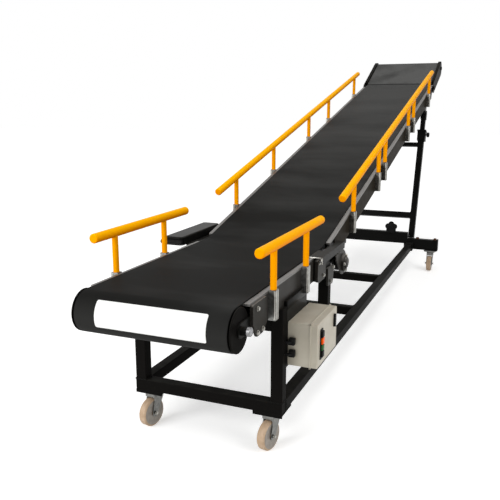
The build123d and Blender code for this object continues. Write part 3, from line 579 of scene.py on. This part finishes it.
def growPiece(name, seed, tree, given, body):
    # Piece that a tree grows on a seed mesh: inputs set by identifier, result kept as a plain mesh
    piece = bpy.data.objects.new(name, seed)
    scene.collection.objects.link(piece)
    modifier = piece.modifiers.new("grown", "NODES")
    modifier.node_group = tree
    for item in tree.interface.items_tree:
        if item.in_out == "INPUT" and item.name in given:
            modifier[item.identifier] = given[item.name]
    depsgraph = bpy.context.evaluated_depsgraph_get()
    mesh = bpy.data.meshes.new_from_object(piece.evaluated_get(depsgraph), depsgraph=depsgraph)
    piece.modifiers.clear()
    piece.data = mesh
    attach(piece, body)


# Hex bolts with washers, one mesh for each body, set by a node tree on points with an axis
boltSizes = {
    "Head Radius": 7.5 * mm, "Head Height": 5.5 * mm,
    "Washer Radius": 9.5 * mm, "Washer Height": 1.6 * mm,
}


def boltTree():
    tree, given = startTree("boltRow", boltSizes)
    joined = addNode(tree, "GeometryNodeJoinGeometry")
    # The washer's foot lies on the face, and the six-sided head stands on the washer
    for part, corners, foot in (("Washer", 20, 0.0), ("Head", 6, given["Washer Height"])):
        disc = addNode(
            tree, "GeometryNodeMeshCylinder",
            {"Vertices": corners, "Radius": given[part + " Radius"], "Depth": given[part + " Height"]},
        )
        middle = addNode(
            tree, "ShaderNodeMath", {0: given[part + " Height"], 1: 0.5, 2: foot}, operation="MULTIPLY_ADD",
        )
        lift = addNode(tree, "ShaderNodeCombineXYZ", {"Z": middle.outputs["Value"]})
        seated = addNode(
            tree, "GeometryNodeTransform",
            {"Geometry": disc.outputs["Mesh"], "Translation": lift.outputs["Vector"]},
        )
        tree.links.new(seated.outputs["Geometry"], joined.inputs[0])
    axis = addNode(tree, "GeometryNodeInputNamedAttribute", {"Name": "axis"}, data_type="FLOAT_VECTOR")
    turn = addNode(
        tree, "FunctionNodeAlignRotationToVector", {"Vector": axis.outputs["Attribute"]}, axis="Z",
    )
    rows = addNode(tree, "GeometryNodeInstanceOnPoints", {
        "Points": given["Geometry"], "Instance": joined.outputs["Geometry"],
        "Rotation": turn.outputs["Rotation"],
    })
    return endTree(tree, rows.outputs["Instances"], given["Finish"])


boltGroup = boltTree()
boltPlaces = {"chassis": [], "boom": []}


def bolt(body, point, axis):
    boltPlaces[body].append((Vector(point), Vector(axis)))


def setBolts(name, places, body, scale=1.0, look="brightZinc"):
    seed = bpy.data.meshes.new(name)
    seed.from_pydata([point for point, axis in places], [], [])
    axes = seed.attributes.new("axis", "FLOAT_VECTOR", "POINT")
    for item, (point, axis) in zip(axes.data, places):
        item.vector = axis
    given = {"Finish": looks[look], **{size: value * scale for size, value in boltSizes.items()}}
    growPiece(name, seed, boltGroup, given, body)


# Bright round beads on the outer corners of the post sockets, brighter than the sockets as a painted highlight
# line, and a bolt on the web beside each; in mm
socketSizes = {
    "infeedU": (252, 640), "boomS": (470, 3270),
    "leftShares": (0, 0.221, 0.495, 0.689, 1), "rightShares": (0, 0.229, 0.3, 0.614, 0.7, 1),
    "half": 15, "lip": 34, "channelTop": 22, "boltAway": 25, "boltDrop": 56,
    "bead": 6.5, "beadInset": 5.5, "beadHeight": 113, "beadRound": 2, "beadDrop": 1,
}


def makeSocketBeads(name, body, feet):
    # Feet are (side, y, z of the socket's top)
    bead, inset, tall, edge = (socketSizes["bead" + key] for key in ("", "Inset", "Height", "Round"))
    half, below = socketSizes["half"], tall + socketSizes["beadDrop"]
    outline = ((bead - edge, 0), (bead, edge), (bead, tall - edge), (bead - edge, tall))
    bm = bmesh.new()
    for side, y, top in feet:
        for step in sides:
            x = side * (channelHalf + (2 * half - inset) * mm)
            lathe(bm, outline, (x, y + step * (half - inset) * mm, top - below * mm), (0, 0, 1), steps=16)
        web = (side * channelHalf, y + socketSizes["boltAway"] * mm, top - socketSizes["boltDrop"] * mm)
        bolt(body, web, (side, 0, 0))
    # Painted highlight: the beads are in brighter zinc than the sockets
    finishPiece(name, bm, "brightZinc", body, "zinc")


def makeSockets():
    lip, under = socketSizes["lip"] * mm, socketSizes["channelTop"] * mm
    infeedFeet = [(side, drumAxis.y + u * mm, knee.z + lip) for side in sides for u in socketSizes["infeedU"]]
    start, end = socketSizes["boomS"]
    boomFeet = []
    for side, shares in zip(sides, (socketSizes["leftShares"], socketSizes["rightShares"])):
        for share in shares:
            foot = onBoom((start + share * (end - start)) * mm, under)
            boomFeet.append((side, foot.y, foot.z + (lip - under) / math.cos(boomSlope)))
    makeSocketBeads("infeedSocketBeads", "chassis", infeedFeet)
    makeSocketBeads("boomSocketBeads", "boom", boomFeet)
    print("sockets dressed:", len(infeedFeet) + len(boomFeet))


makeSockets()

# Front drum: dished end caps beside the belt's edges, and the bright ends of its shaft over the nuts; in mm
drumSizes = {
    "shaft": ((16.6, 0), (16.6, 10), (14, 13), (11.5, 14.5), (6, 15.5), (0.5, 16)), "shaftX": 341,
    "cap": ((77, 0), (79.5, 1.2), (79.5, 3.8), (77.5, 5.4), (73, 5.8), (68, 5), (0.5, 5)), "capX": 306,
}


def makeDrumEnds():
    shafts, caps = bmesh.new(), bmesh.new()
    for bm, key, steps in ((shafts, "shaft", 28), (caps, "cap", 64)):
        for side in sides:
            spot = (side * drumSizes[key + "X"] * mm, drumAxis.y, drumAxis.z)
            lathe(bm, drumSizes[key], spot, (side, 0, 0), steps)
    finishPiece("drumShaftEnds", shafts, "turnedSteel", "chassis", "zinc")
    finishPiece("drumCaps", caps, "dullBlack", "chassis", "frame_paint")


makeDrumEnds()
print("drum ends made")

# Places in mm of the bolts on side plates, knee straps, casters, outriggers and drive bearings
boltRows = {
    "sidePlate": ((-895, 0), (-896, -87), (-848, -87)), "strap": ((-192, 6), (-98, 6), (-119, -66)),
    "strapX": 343, "post": ((42, -64), (4, -124)), "postX": 344.5,
    "driveCount": 4, "driveRing": 36, "driveX": 366.5, "casterCorner": 38, "casterDrop": 5,
    "outrigger": (372, 518), "outriggerTop": 262, "outriggerScale": 1.7,
}


def placeBolts():
    drive = sum(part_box("drive_flanges"), Vector()) / 2
    ring, corner, drop = (boltRows[key] * mm for key in ("driveRing", "casterCorner", "casterDrop"))
    for side in sides:
        for key, face in (("sidePlate", plateFace), ("strap", boltRows["strapX"] * mm)):
            for s, h in boltRows[key]:
                bolt("chassis", onInfeed(s * mm, h * mm, side * face), (side, 0, 0))
        for c, d in circle(boltRows["driveCount"]):
            spot = (side * boltRows["driveX"] * mm, drive.y + ring * c, drive.z + ring * d)
            bolt("boom", spot, (side, 0, 0))
    for s, h in boltRows["post"]:
        bolt("chassis", onInfeed(s * mm, h * mm, boltRows["postX"] * mm), (1, 0, 0))
    for name in casterNames:
        pin = Vector(joints["swivel_" + name]["pos_m"])
        for dx in sides:
            for dy in sides:
                bolt("chassis", (pin.x + dx * corner, pin.y + dy * corner, pin.z - drop), (0, 0, -1))
    beam = sum(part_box("rear_beam"), Vector()) / 2
    outriggerBolts = [
        (Vector((side * x * mm, beam.y, boltRows["outriggerTop"] * mm)), Vector((0, 0, 1)))
        for side in sides for x in boltRows["outrigger"]
    ]
    setBolts("outriggerBolts", outriggerBolts, "chassis", boltRows["outriggerScale"], "rustedSteel")
    for body, places in boltPlaces.items():
        setBolts(body + "Bolts", places, body)


placeBolts()
print("bolts set:", sum(len(places) for places in boltPlaces.values()))

# Grey hub discs on the wheels, nuts on the axles and pressed crowns between the fork arms; in mm
hubSizes = {
    "disc": (
        (0.5, 0), (39.5, 0), (39.5, 3.95), (54, 3.95), (54, 4.6), (52, 5), (41, 5), (37, 2.8), (24, 2.4),
        (19, 3.4), (15, 3.4), (14.2, 0.6),
    ),
    "recess": 14, "axleReach": 29, "nutScale": 0.9,
    # Crown over the wheel: length, width and height, distance behind the king pin, middle height
    "crown": (70, 50, 22), "crownBack": 9, "crownZ": 142, "crownRound": 3,
}


def makeHubs():
    recess, axleReach = hubSizes["recess"] * mm, hubSizes["axleReach"] * mm
    for name in casterNames:
        tail = name.title().replace("_", "")
        centre, axis = (Vector(joints["roll_" + name][key]) for key in ("pos_m", "axis"))
        discs, crown = bmesh.new(), bmesh.new()
        for side in sides:
            lathe(discs, hubSizes["disc"], centre + axis * side * recess, axis * side, steps=40)
        finishPiece("hubDiscs" + tail, discs, "hubNylon", "wheel_" + name, "wheel_tread")
        ends = [(centre + axis * side * axleReach, axis * side) for side in sides]
        setBolts("axleNuts" + tail, ends, "caster_" + name, hubSizes["nutScale"])
        pin = Vector(joints["swivel_" + name]["pos_m"])
        back = Vector((centre.x - pin.x, centre.y - pin.y, 0)).normalized()
        turn = Matrix((back, axis, Vector((0, 0, 1)))).transposed().to_4x4()
        spot = Vector((pin.x, pin.y, hubSizes["crownZ"] * mm)) + back * (hubSizes["crownBack"] * mm)
        softBox(crown, hubSizes["crown"], Matrix.Translation(spot) @ turn, hubSizes["crownRound"], 3)
        finishPiece("forkCrown" + tail, crown, "zinc", "caster_" + name, "zinc")


makeHubs()
print("hubs made")

# Push buttons: a column of flat caps, dark, orange-red stop, green start and dark, on the black plate; in mm
buttonSizes = {
    "width": 25, "depth": 8, "round": 2,
    # Look, height of the middle above the plate's middle, and height
    "caps": (("blackNylon", 42, 25), ("stopCap", 14, 26), ("startCap", -13, 23), ("blackNylon", -40, 26)),
}


def makeButtons():
    low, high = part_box("push_buttons")
    middle = (low + high) / 2
    width, depth = buttonSizes["width"], buttonSizes["depth"]
    for i, (look, rise, tall) in enumerate(buttonSizes["caps"]):
        bm = bmesh.new()
        spot = Vector((low.x + depth * mm / 2, middle.y, middle.z + rise * mm))
        softBox(bm, (depth, width, tall), Matrix.Translation(spot), buttonSizes["round"], 3)
        cap = finishPiece("buttonCap" + str(i + 1), bm, look, "chassis", "button_plastic")
        if i == 0:
            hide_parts("push_buttons")


makeButtons()
print("buttons made")

# Five-lobed hand knob that faces forwards, rounded like a moulded one, on a stem and a bracket with a
# half-round top; in mm
knobSizes = {
    "lobes": 5, "lobeAway": 28, "lobeRadius": 25, "thickness": 32, "edge": 0.22, "layers": 10, "steps": 80,
    "stem": 12, "stemShare": 0.9, "bracketHalf": 16, "bracketThickness": 16, "rise": 42,
    "boss": ((14, 0), (14, 3), (11, 6), (0.5, 6.5)),
}


def lobeReach(turn):
    # Distance to the far side of the nearest lobe's circle
    pitch = 2 * math.pi / knobSizes["lobes"]
    off = (turn - math.pi / 2 + pitch / 2) % pitch - pitch / 2
    away, lobe = knobSizes["lobeAway"] * mm, knobSizes["lobeRadius"] * mm
    return away * math.cos(off) + math.sqrt(lobe ** 2 - (away * math.sin(off)) ** 2)


def makeKnob():
    low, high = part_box("hand_knob")
    rise, thickness = knobSizes["rise"] * mm, knobSizes["thickness"]
    middle = Vector(((low.x + high.x) / 2, low.y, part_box("rear_beam")[1].z + rise))
    turns = [2 * math.pi * k / knobSizes["steps"] for k in range(knobSizes["steps"])]
    rings = []
    for i in range(knobSizes["layers"] + 1):
        # Half-round rim: rings shrink towards the front and the back of the knob
        angle = math.pi * (i / knobSizes["layers"] - 0.5)
        shrink = 1 - knobSizes["edge"] * (1 - math.cos(angle))
        depth = thickness * mm * (0.5 + 0.5 * math.sin(angle))
        reaches = [(turn, shrink * lobeReach(turn)) for turn in turns]
        rings.append([
            middle + Vector((r * math.cos(turn), depth, r * math.sin(turn))) for turn, r in reaches
        ])
    bm = bmesh.new()
    skinRings(bm, rings)
    lathe(bm, knobSizes["boss"], middle, (0, -1, 0), steps=28)
    stem, bracket = knobSizes["stem"], knobSizes["bracketThickness"]
    stemEnd = (high.y - low.y) / mm - bracket / 2
    lathe(bm, ((stem, thickness * knobSizes["stemShare"]), (stem, stemEnd)), middle, (0, 1, 0), steps=24)

    def onBracket(up, across, depth):
        return Vector((middle.x + across, high.y + depth, middle.z + up))

    slab(bm, tongue(-rise, 0, knobSizes["bracketHalf"] * mm), onBracket, (-bracket * mm, 0))
    knob = finishPiece("starKnob", bm, "blackNylon", "chassis", "black_plastic", smooth=40)
    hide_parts("hand_knob")


makeKnob()
print("knob made")


def bothSides(*boxes):
    return boxes + tuple((-x1, -x0, *rest) for x0, x1, *rest in boxes)


# Small fittings as rounded boxes: look, slot, rounding and boxes of (x0, x1, u0, u1, z0, z1), all in mm
fittings = {
    "casterPads": ("dullBlack", "frame_paint", 1.5, bothSides(
        (210, 337, 360.5, 366, 158, 174), (210, 337, 471, 476, 166, 173),
        (210, 216, 360.5, 476, 166, 173), (331, 337, 360.5, 476, 166, 173),
    )),
    "frontTie": ("dullBlack", "frame_paint", 3.0, ((-286, 286, 362.5, 411.5, 518, 611.5),)),
    "panelHanger": ("blackEnamel", "frame_paint", 1.0, ((320, 336.5, 413, 664, 596, 633),)),
    "lidRim": ("powderCoat", "box_paint", 1.5, (
        (424.5, 431, 421.5, 713.5, 541, 548.5), (424.5, 431, 421.5, 713.5, 359.5, 367),
        (424.5, 431, 421.5, 429, 359.5, 548.5), (424.5, 431, 706, 713.5, 359.5, 548.5),
    )),
    "glandNuts": ("blackNylon", "black_plastic", 3.0, (
        (343, 369, 404, 426, 406, 434), (343, 369, 404, 426, 456, 484),
    )),
    "coverEdges": ("brightZinc", "frame_paint", 0.6, (
        (303, 363.5, 797.5, 800.5, 718.5, 725.5), (357, 364.5, 797.5, 800.5, 694, 725.5),
    )),
    "guardSkirt": ("blackEnamel", "frame_paint", 2.0, ((-392, -339, 950, 1342, 694, 701),)),
    "railClamps": ("blackEnamel", "frame_paint", 4.0, bothSides((280, 342, 3652, 3718, 166, 228))),
    "outriggerCaps": ("blackNylon", "frame_paint", 3.0, bothSides((532, 544, 3711, 3769, 168, 266))),
}


def makeFittings():
    for name, (look, slotName, rounding, boxes) in fittings.items():
        bm = bmesh.new()
        for x0, x1, u0, u1, z0, z1 in boxes:
            spot = Vector(((x0 + x1) / 2 * mm, drumAxis.y + (u0 + u1) / 2 * mm, (z0 + z1) / 2 * mm))
            softBox(bm, (x1 - x0, u1 - u0, z1 - z0), Matrix.Translation(spot), rounding)
        finishPiece(name, bm, look, "chassis", slotName)


makeFittings()
print("fittings made:", len(fittings))

# Leg ends: a plug with clevis cheeks beside the boom's lugs, a flange and a clamp knob on each collar; in mm
legSizes = {
    "x": 307, "cheek": (16, 24), "cheekHalf": 24, "cheekStart": 1105, "cheekReach": 1157.49,
    "plug": (40, 40, 23), "plugAt": 1116.5, "flange": (78, 78, 16), "flangeAt": 992, "round": 4,
    "knob": ((7, 0), (7, 8), (19, 10), (21, 14), (21, 26), (19, 30), (10, 32), (0.5, 32.4)),
    "knobAt": 962, "knobX": 341,
}


def makeLegEnds():
    cheeks, collars, clamps = bmesh.new(), bmesh.new(), bmesh.new()
    outline = tongue(*(legSizes["cheek" + key] * mm for key in ("Start", "Reach", "Half")))
    turn = Matrix.Rotation(legSlope - math.pi / 2, 4, "X")
    for side in sides:
        middle = side * legSizes["x"] * mm
        for step in sides:
            slab(cheeks, outline, onLeg, [middle + step * depth * mm for depth in legSizes["cheek"]])
        for bm, key in ((cheeks, "plug"), (collars, "flange")):
            spot = onLeg(legSizes[key + "At"] * mm, x=middle)
            softBox(bm, legSizes[key], Matrix.Translation(spot) @ turn, legSizes["round"])
        grip = onLeg(legSizes["knobAt"] * mm, x=side * legSizes["knobX"] * mm)
        lathe(clamps, legSizes["knob"], grip, (side, 0, 0), steps=24)
    finishPiece("legCheeks", cheeks, "blackEnamel", "leg_slides", "frame_paint")
    finishPiece("collarFlanges", collars, "blackEnamel", "legs", "frame_paint")
    finishPiece("collarKnobs", clamps, "blackNylon", "legs", "black_plastic")


makeLegEnds()
print("leg ends made")

# Plates about the knee: straps on the infeed's side plates and the right upright, and the drive drum's
# bearing plates under the boom, each with a turned bearing cap; a stop bar on the guard's front end; in mm
kneeSizes = {
    "strap": (((-198, 12), 10), ((-92, 12), 10), ((-182, -60), 26), ((-108, -60), 26)), "strapX": (329, 343),
    "post": (((-36, -60), 9), ((48, -66), 9), ((-30, -128), 12), ((36, -130), 12)), "postX": (335, 344.5),
    "driveLeft": (((178, -121), 50),), "driveRight": (((72, -46), 14), ((178, -121), 60), ((182, -56), 8)),
    "driveX": (346.5, 353),
    "cap": ((44, 0), (44, 10), (41, 13), (30, 14), (28, 20), (24, 23), (12, 23.5), (0.5, 23.5)),
    "bar": ((9, 0), (10.5, 1.5), (10.5, 116), (9, 118)), "barEnd": (-503, 897, 715),
}


def makeKneePlates():
    straps, drives, bar = bmesh.new(), bmesh.new(), bmesh.new()
    for side, drive in zip(sides, ("driveLeft", "driveRight")):
        driveX = [side * x * mm for x in kneeSizes["driveX"]]
        slab(straps, hullOf(kneeSizes["strap"]), onInfeed, [side * x * mm for x in kneeSizes["strapX"]])
        slab(drives, hullOf(kneeSizes[drive]), onBoom, driveX)
        lathe(drives, kneeSizes["cap"], onBoom(*beltSizes["drive"], driveX[1]), (side, 0, 0), steps=36)
    slab(straps, hullOf(kneeSizes["post"]), onInfeed, [x * mm for x in kneeSizes["postX"]])
    x, u, z = (value * mm for value in kneeSizes["barEnd"])
    lathe(bar, kneeSizes["bar"], (x, drumAxis.y + u, z), (1, 0, 0), steps=20)
    finishPiece("kneeStraps", straps, "greyEnamel", "chassis", "channel_paint")
    finishPiece("driveBearings", drives, "greyEnamel", "boom", "channel_paint")
    finishPiece("guardBar", bar, "blackNylon", "chassis", "black_plastic")


makeKneePlates()
print("knee plates made")

# Head: bearing flanges at the ends of its drum, and raised rims between the belt and the side plates; in mm
headSizes = {
    "flange": ((53.5, 0), (54.5, 1), (54.5, 18), (52, 20)), "flangeX": 301.5,
    "rim": (((76, 28), 20), ((520, -20), 68)), "rimX": (303, 328),
}


def makeHeadEnds():
    flanges, rims = bmesh.new(), bmesh.new()
    for side in sides:
        middle = onHead(*beltSizes["headDrum"], side * headSizes["flangeX"] * mm)
        lathe(flanges, headSizes["flange"], middle, (side, 0, 0), steps=40)
        slab(rims, hullOf(headSizes["rim"]), onHead, [side * x * mm for x in headSizes["rimX"]])
    finishPiece("headBearings", flanges, "blackEnamel", "head", "frame_paint")
    finishPiece("headRims", rims, "dullBlack", "head", "frame_paint")


makeHeadEnds()
print("head ends made")

# Weld beads where tubes meet: rippled beads along closed rings, set by a node tree
weldSizes = {"Bead Radius": 3.2 * mm, "Ripple Step": 3.4 * mm}
# Rings on the base as x, z, places along it and the plane of the ring, and on the legs; in mm. Beads are
# uneven between two scales
weldRows = {
    "uprights": (311, 222, (387, 1028), "xy"), "endBeams": (311, 197, (412, 3715), "xz"),
    "crossMembers": (286, 197, (1739.8, 2519.8), "yz"), "tubeHalf": 25,
    "legRungs": ((230, 25), (870.5, 17.5)), "legX": 282, "scales": (0.8, 1.1), "seed": 7,
}


def weldTree():
    tree, given = startTree("weldBeads", weldSizes)
    rings = addNode(tree, "GeometryNodeMeshToCurve", {"Mesh": given["Geometry"]})
    spots = addNode(
        tree, "GeometryNodeCurveToPoints",
        {"Curve": rings.outputs["Curve"], "Length": given["Ripple Step"]}, mode="LENGTH",
    )
    blob = addNode(
        tree, "GeometryNodeMeshUVSphere", {"Segments": 8, "Rings": 5, "Radius": given["Bead Radius"]},
    )
    least, most = weldRows["scales"]
    # Sockets 2 and 3 are the least and the most of a random number
    uneven = addNode(
        tree, "FunctionNodeRandomValue", {2: least, 3: most, "Seed": weldRows["seed"]}, data_type="FLOAT",
    )
    beads = addNode(
        tree, "GeometryNodeInstanceOnPoints",
        {"Points": spots.outputs["Points"], "Instance": blob.outputs["Mesh"], "Scale": uneven.outputs[1]},
    )
    return endTree(tree, beads.outputs["Instances"], given["Finish"])


def weldRing(middle, first, second):
    # Four corners of a tube's outline about its middle
    return [middle + a * first + b * second for a, b in ((-1, -1), (1, -1), (1, 1), (-1, 1))]


def setWelds(name, rings, tree, body):
    corners = [corner for ring in rings for corner in ring]
    edges = [(4 * i + k, 4 * i + (k + 1) % 4) for i in range(len(rings)) for k in range(4)]
    seed = bpy.data.meshes.new(name)
    seed.from_pydata(corners, edges, [])
    growPiece(name, seed, tree, {"Finish": looks["blackEnamel"], **weldSizes}, body)


def makeWelds():
    halves = {
        axis: Vector(direction) * weldRows["tubeHalf"] * mm
        for axis, direction in (("x", (1, 0, 0)), ("y", (0, 1, 0)), ("z", (0, 0, 1)))
    }
    baseWelds, legWelds = [], []
    for side in sides:
        for key in ("uprights", "endBeams", "crossMembers"):
            x, z, places, plane = weldRows[key]
            for u in places:
                middle = Vector((side * x * mm, drumAxis.y + u * mm, z * mm))
                baseWelds.append(weldRing(middle, *(halves[axis] for axis in plane)))
    for d, half in weldRows["legRungs"]:
        along, square = (onLeg(1) - onLeg(0)) * half * mm, (onLeg(0, 1) - onLeg(0)) * half * mm
        for side in sides:
            legWelds.append(weldRing(onLeg(d * mm, x=side * weldRows["legX"] * mm), along, square))
    tree = weldTree()
    setWelds("baseWelds", baseWelds, tree, "chassis")
    setWelds("legWelds", legWelds, tree, "legs")
    print("welds set:", len(baseWelds) + len(legWelds))


makeWelds()

# White floor and surroundings: white to the camera and in reflections, plain soft light for the rest
studio = {
    "floorSize": 60.0, "floorColour": "#f4f4f3", "glowNear": 0.46, "glowFar": 0.66, "nearM": 3.0, "farM": 8.0,
    "ambient": 0.45,
    "lamps": (
        # Name, place, aim, size and watts
        ("keyLamp", (5.0, -3.4, 3.4), (0.0, -0.6, 0.8), 3.0, 112),
        ("fillLamp", (-2.6, -6.6, 2.6), (0.0, -0.8, 0.7), 3.0, 225),
        ("topLamp", (0.2, 0.4, 6.5), (0.0, 0.4, 0.8), 4.5, 125),
    ),
}


def seenDirectly(tree):
    # 1 for rays from the camera, from gloss and through glass, 0 for the rest
    rays = addNode(tree, "ShaderNodeLightPath").outputs
    seen = rays["Is Camera Ray"]
    for kind in ("Is Glossy Ray", "Is Transmission Ray"):
        seen = addNode(tree, "ShaderNodeMath", {0: seen, 1: rays[kind]}, operation="MAXIMUM").outputs["Value"]
    return seen


def makeFloor():
    material = bpy.data.materials.new("paleStudioFloor")
    material.use_nodes = True
    tree = material.node_tree
    tree.nodes.clear()
    matt = addNode(tree, "ShaderNodeBsdfDiffuse", {"Color": linear(studio["floorColour"])})
    # The lamps fade with distance, so the far floor glows more to stay white up to the horizon
    place = addNode(tree, "ShaderNodeTexCoord").outputs["Object"]
    away = addNode(tree, "ShaderNodeVectorMath", {0: place}, operation="LENGTH").outputs["Value"]
    level = addNode(tree, "ShaderNodeMapRange", {
        "Value": away, "From Min": studio["nearM"], "From Max": studio["farM"],
        "To Min": studio["glowNear"], "To Max": studio["glowFar"],
    })
    strength = addNode(
        tree, "ShaderNodeMath", {0: seenDirectly(tree), 1: level.outputs["Result"]}, operation="MULTIPLY",
    )
    glow = addNode(tree, "ShaderNodeEmission", {"Strength": strength.outputs["Value"]})
    both = addNode(tree, "ShaderNodeAddShader", {0: matt.outputs["BSDF"], 1: glow.outputs["Emission"]})
    addNode(tree, "ShaderNodeOutputMaterial", {"Surface": both.outputs["Shader"]})
    bm = bmesh.new()
    bmesh.ops.create_grid(bm, x_segments=1, y_segments=1, size=studio["floorSize"] / 2)
    mesh = bpy.data.meshes.new("studioFloor")
    bm.to_mesh(mesh)
    bm.free()
    mesh.materials.append(material)
    floor = bpy.data.objects.new("studioFloor", mesh)
    scene.collection.objects.link(floor)


def makeLight():
    world = bpy.data.worlds.new("whiteStudio")
    scene.world = world
    world.use_nodes = True
    tree = world.node_tree
    tree.nodes.clear()
    level = addNode(
        tree, "ShaderNodeMapRange",
        {"Value": seenDirectly(tree), "To Min": studio["ambient"], "To Max": 1.0},
    )
    sky = addNode(
        tree, "ShaderNodeBackground", {"Color": (1, 1, 1, 1), "Strength": level.outputs["Result"]},
    )
    addNode(tree, "ShaderNodeOutputWorld", {"Surface": sky.outputs["Background"]})
    for name, place, aim, size, watts in studio["lamps"]:
        light = bpy.data.lights.new(name, "AREA")
        light.size = size
        light.energy = watts
        lamp = bpy.data.objects.new(name, light)
        lamp.location = place
        lamp.rotation_euler = (Vector(aim) - Vector(place)).to_track_quat("-Z", "Y").to_euler()
        scene.collection.objects.link(lamp)


makeFloor()
makeLight()

# Camera where the photograph was taken from
shot = {
    "place": (1.12276, -4.39543, 1.37161), "tilt": math.radians(77.55), "turn": math.radians(22.4),
    "lens": 46.61, "sensor": 36,
}
camera = bpy.data.objects.new("shotCamera", bpy.data.cameras.new("shotCamera"))
camera.data.lens = shot["lens"]
camera.data.sensor_width = shot["sensor"]
camera.location = shot["place"]
camera.rotation_euler = (shot["tilt"], 0, shot["turn"])
scene.collection.objects.link(camera)
scene.camera = camera
scene.view_settings.view_transform = "Standard"
print("studio and camera set")
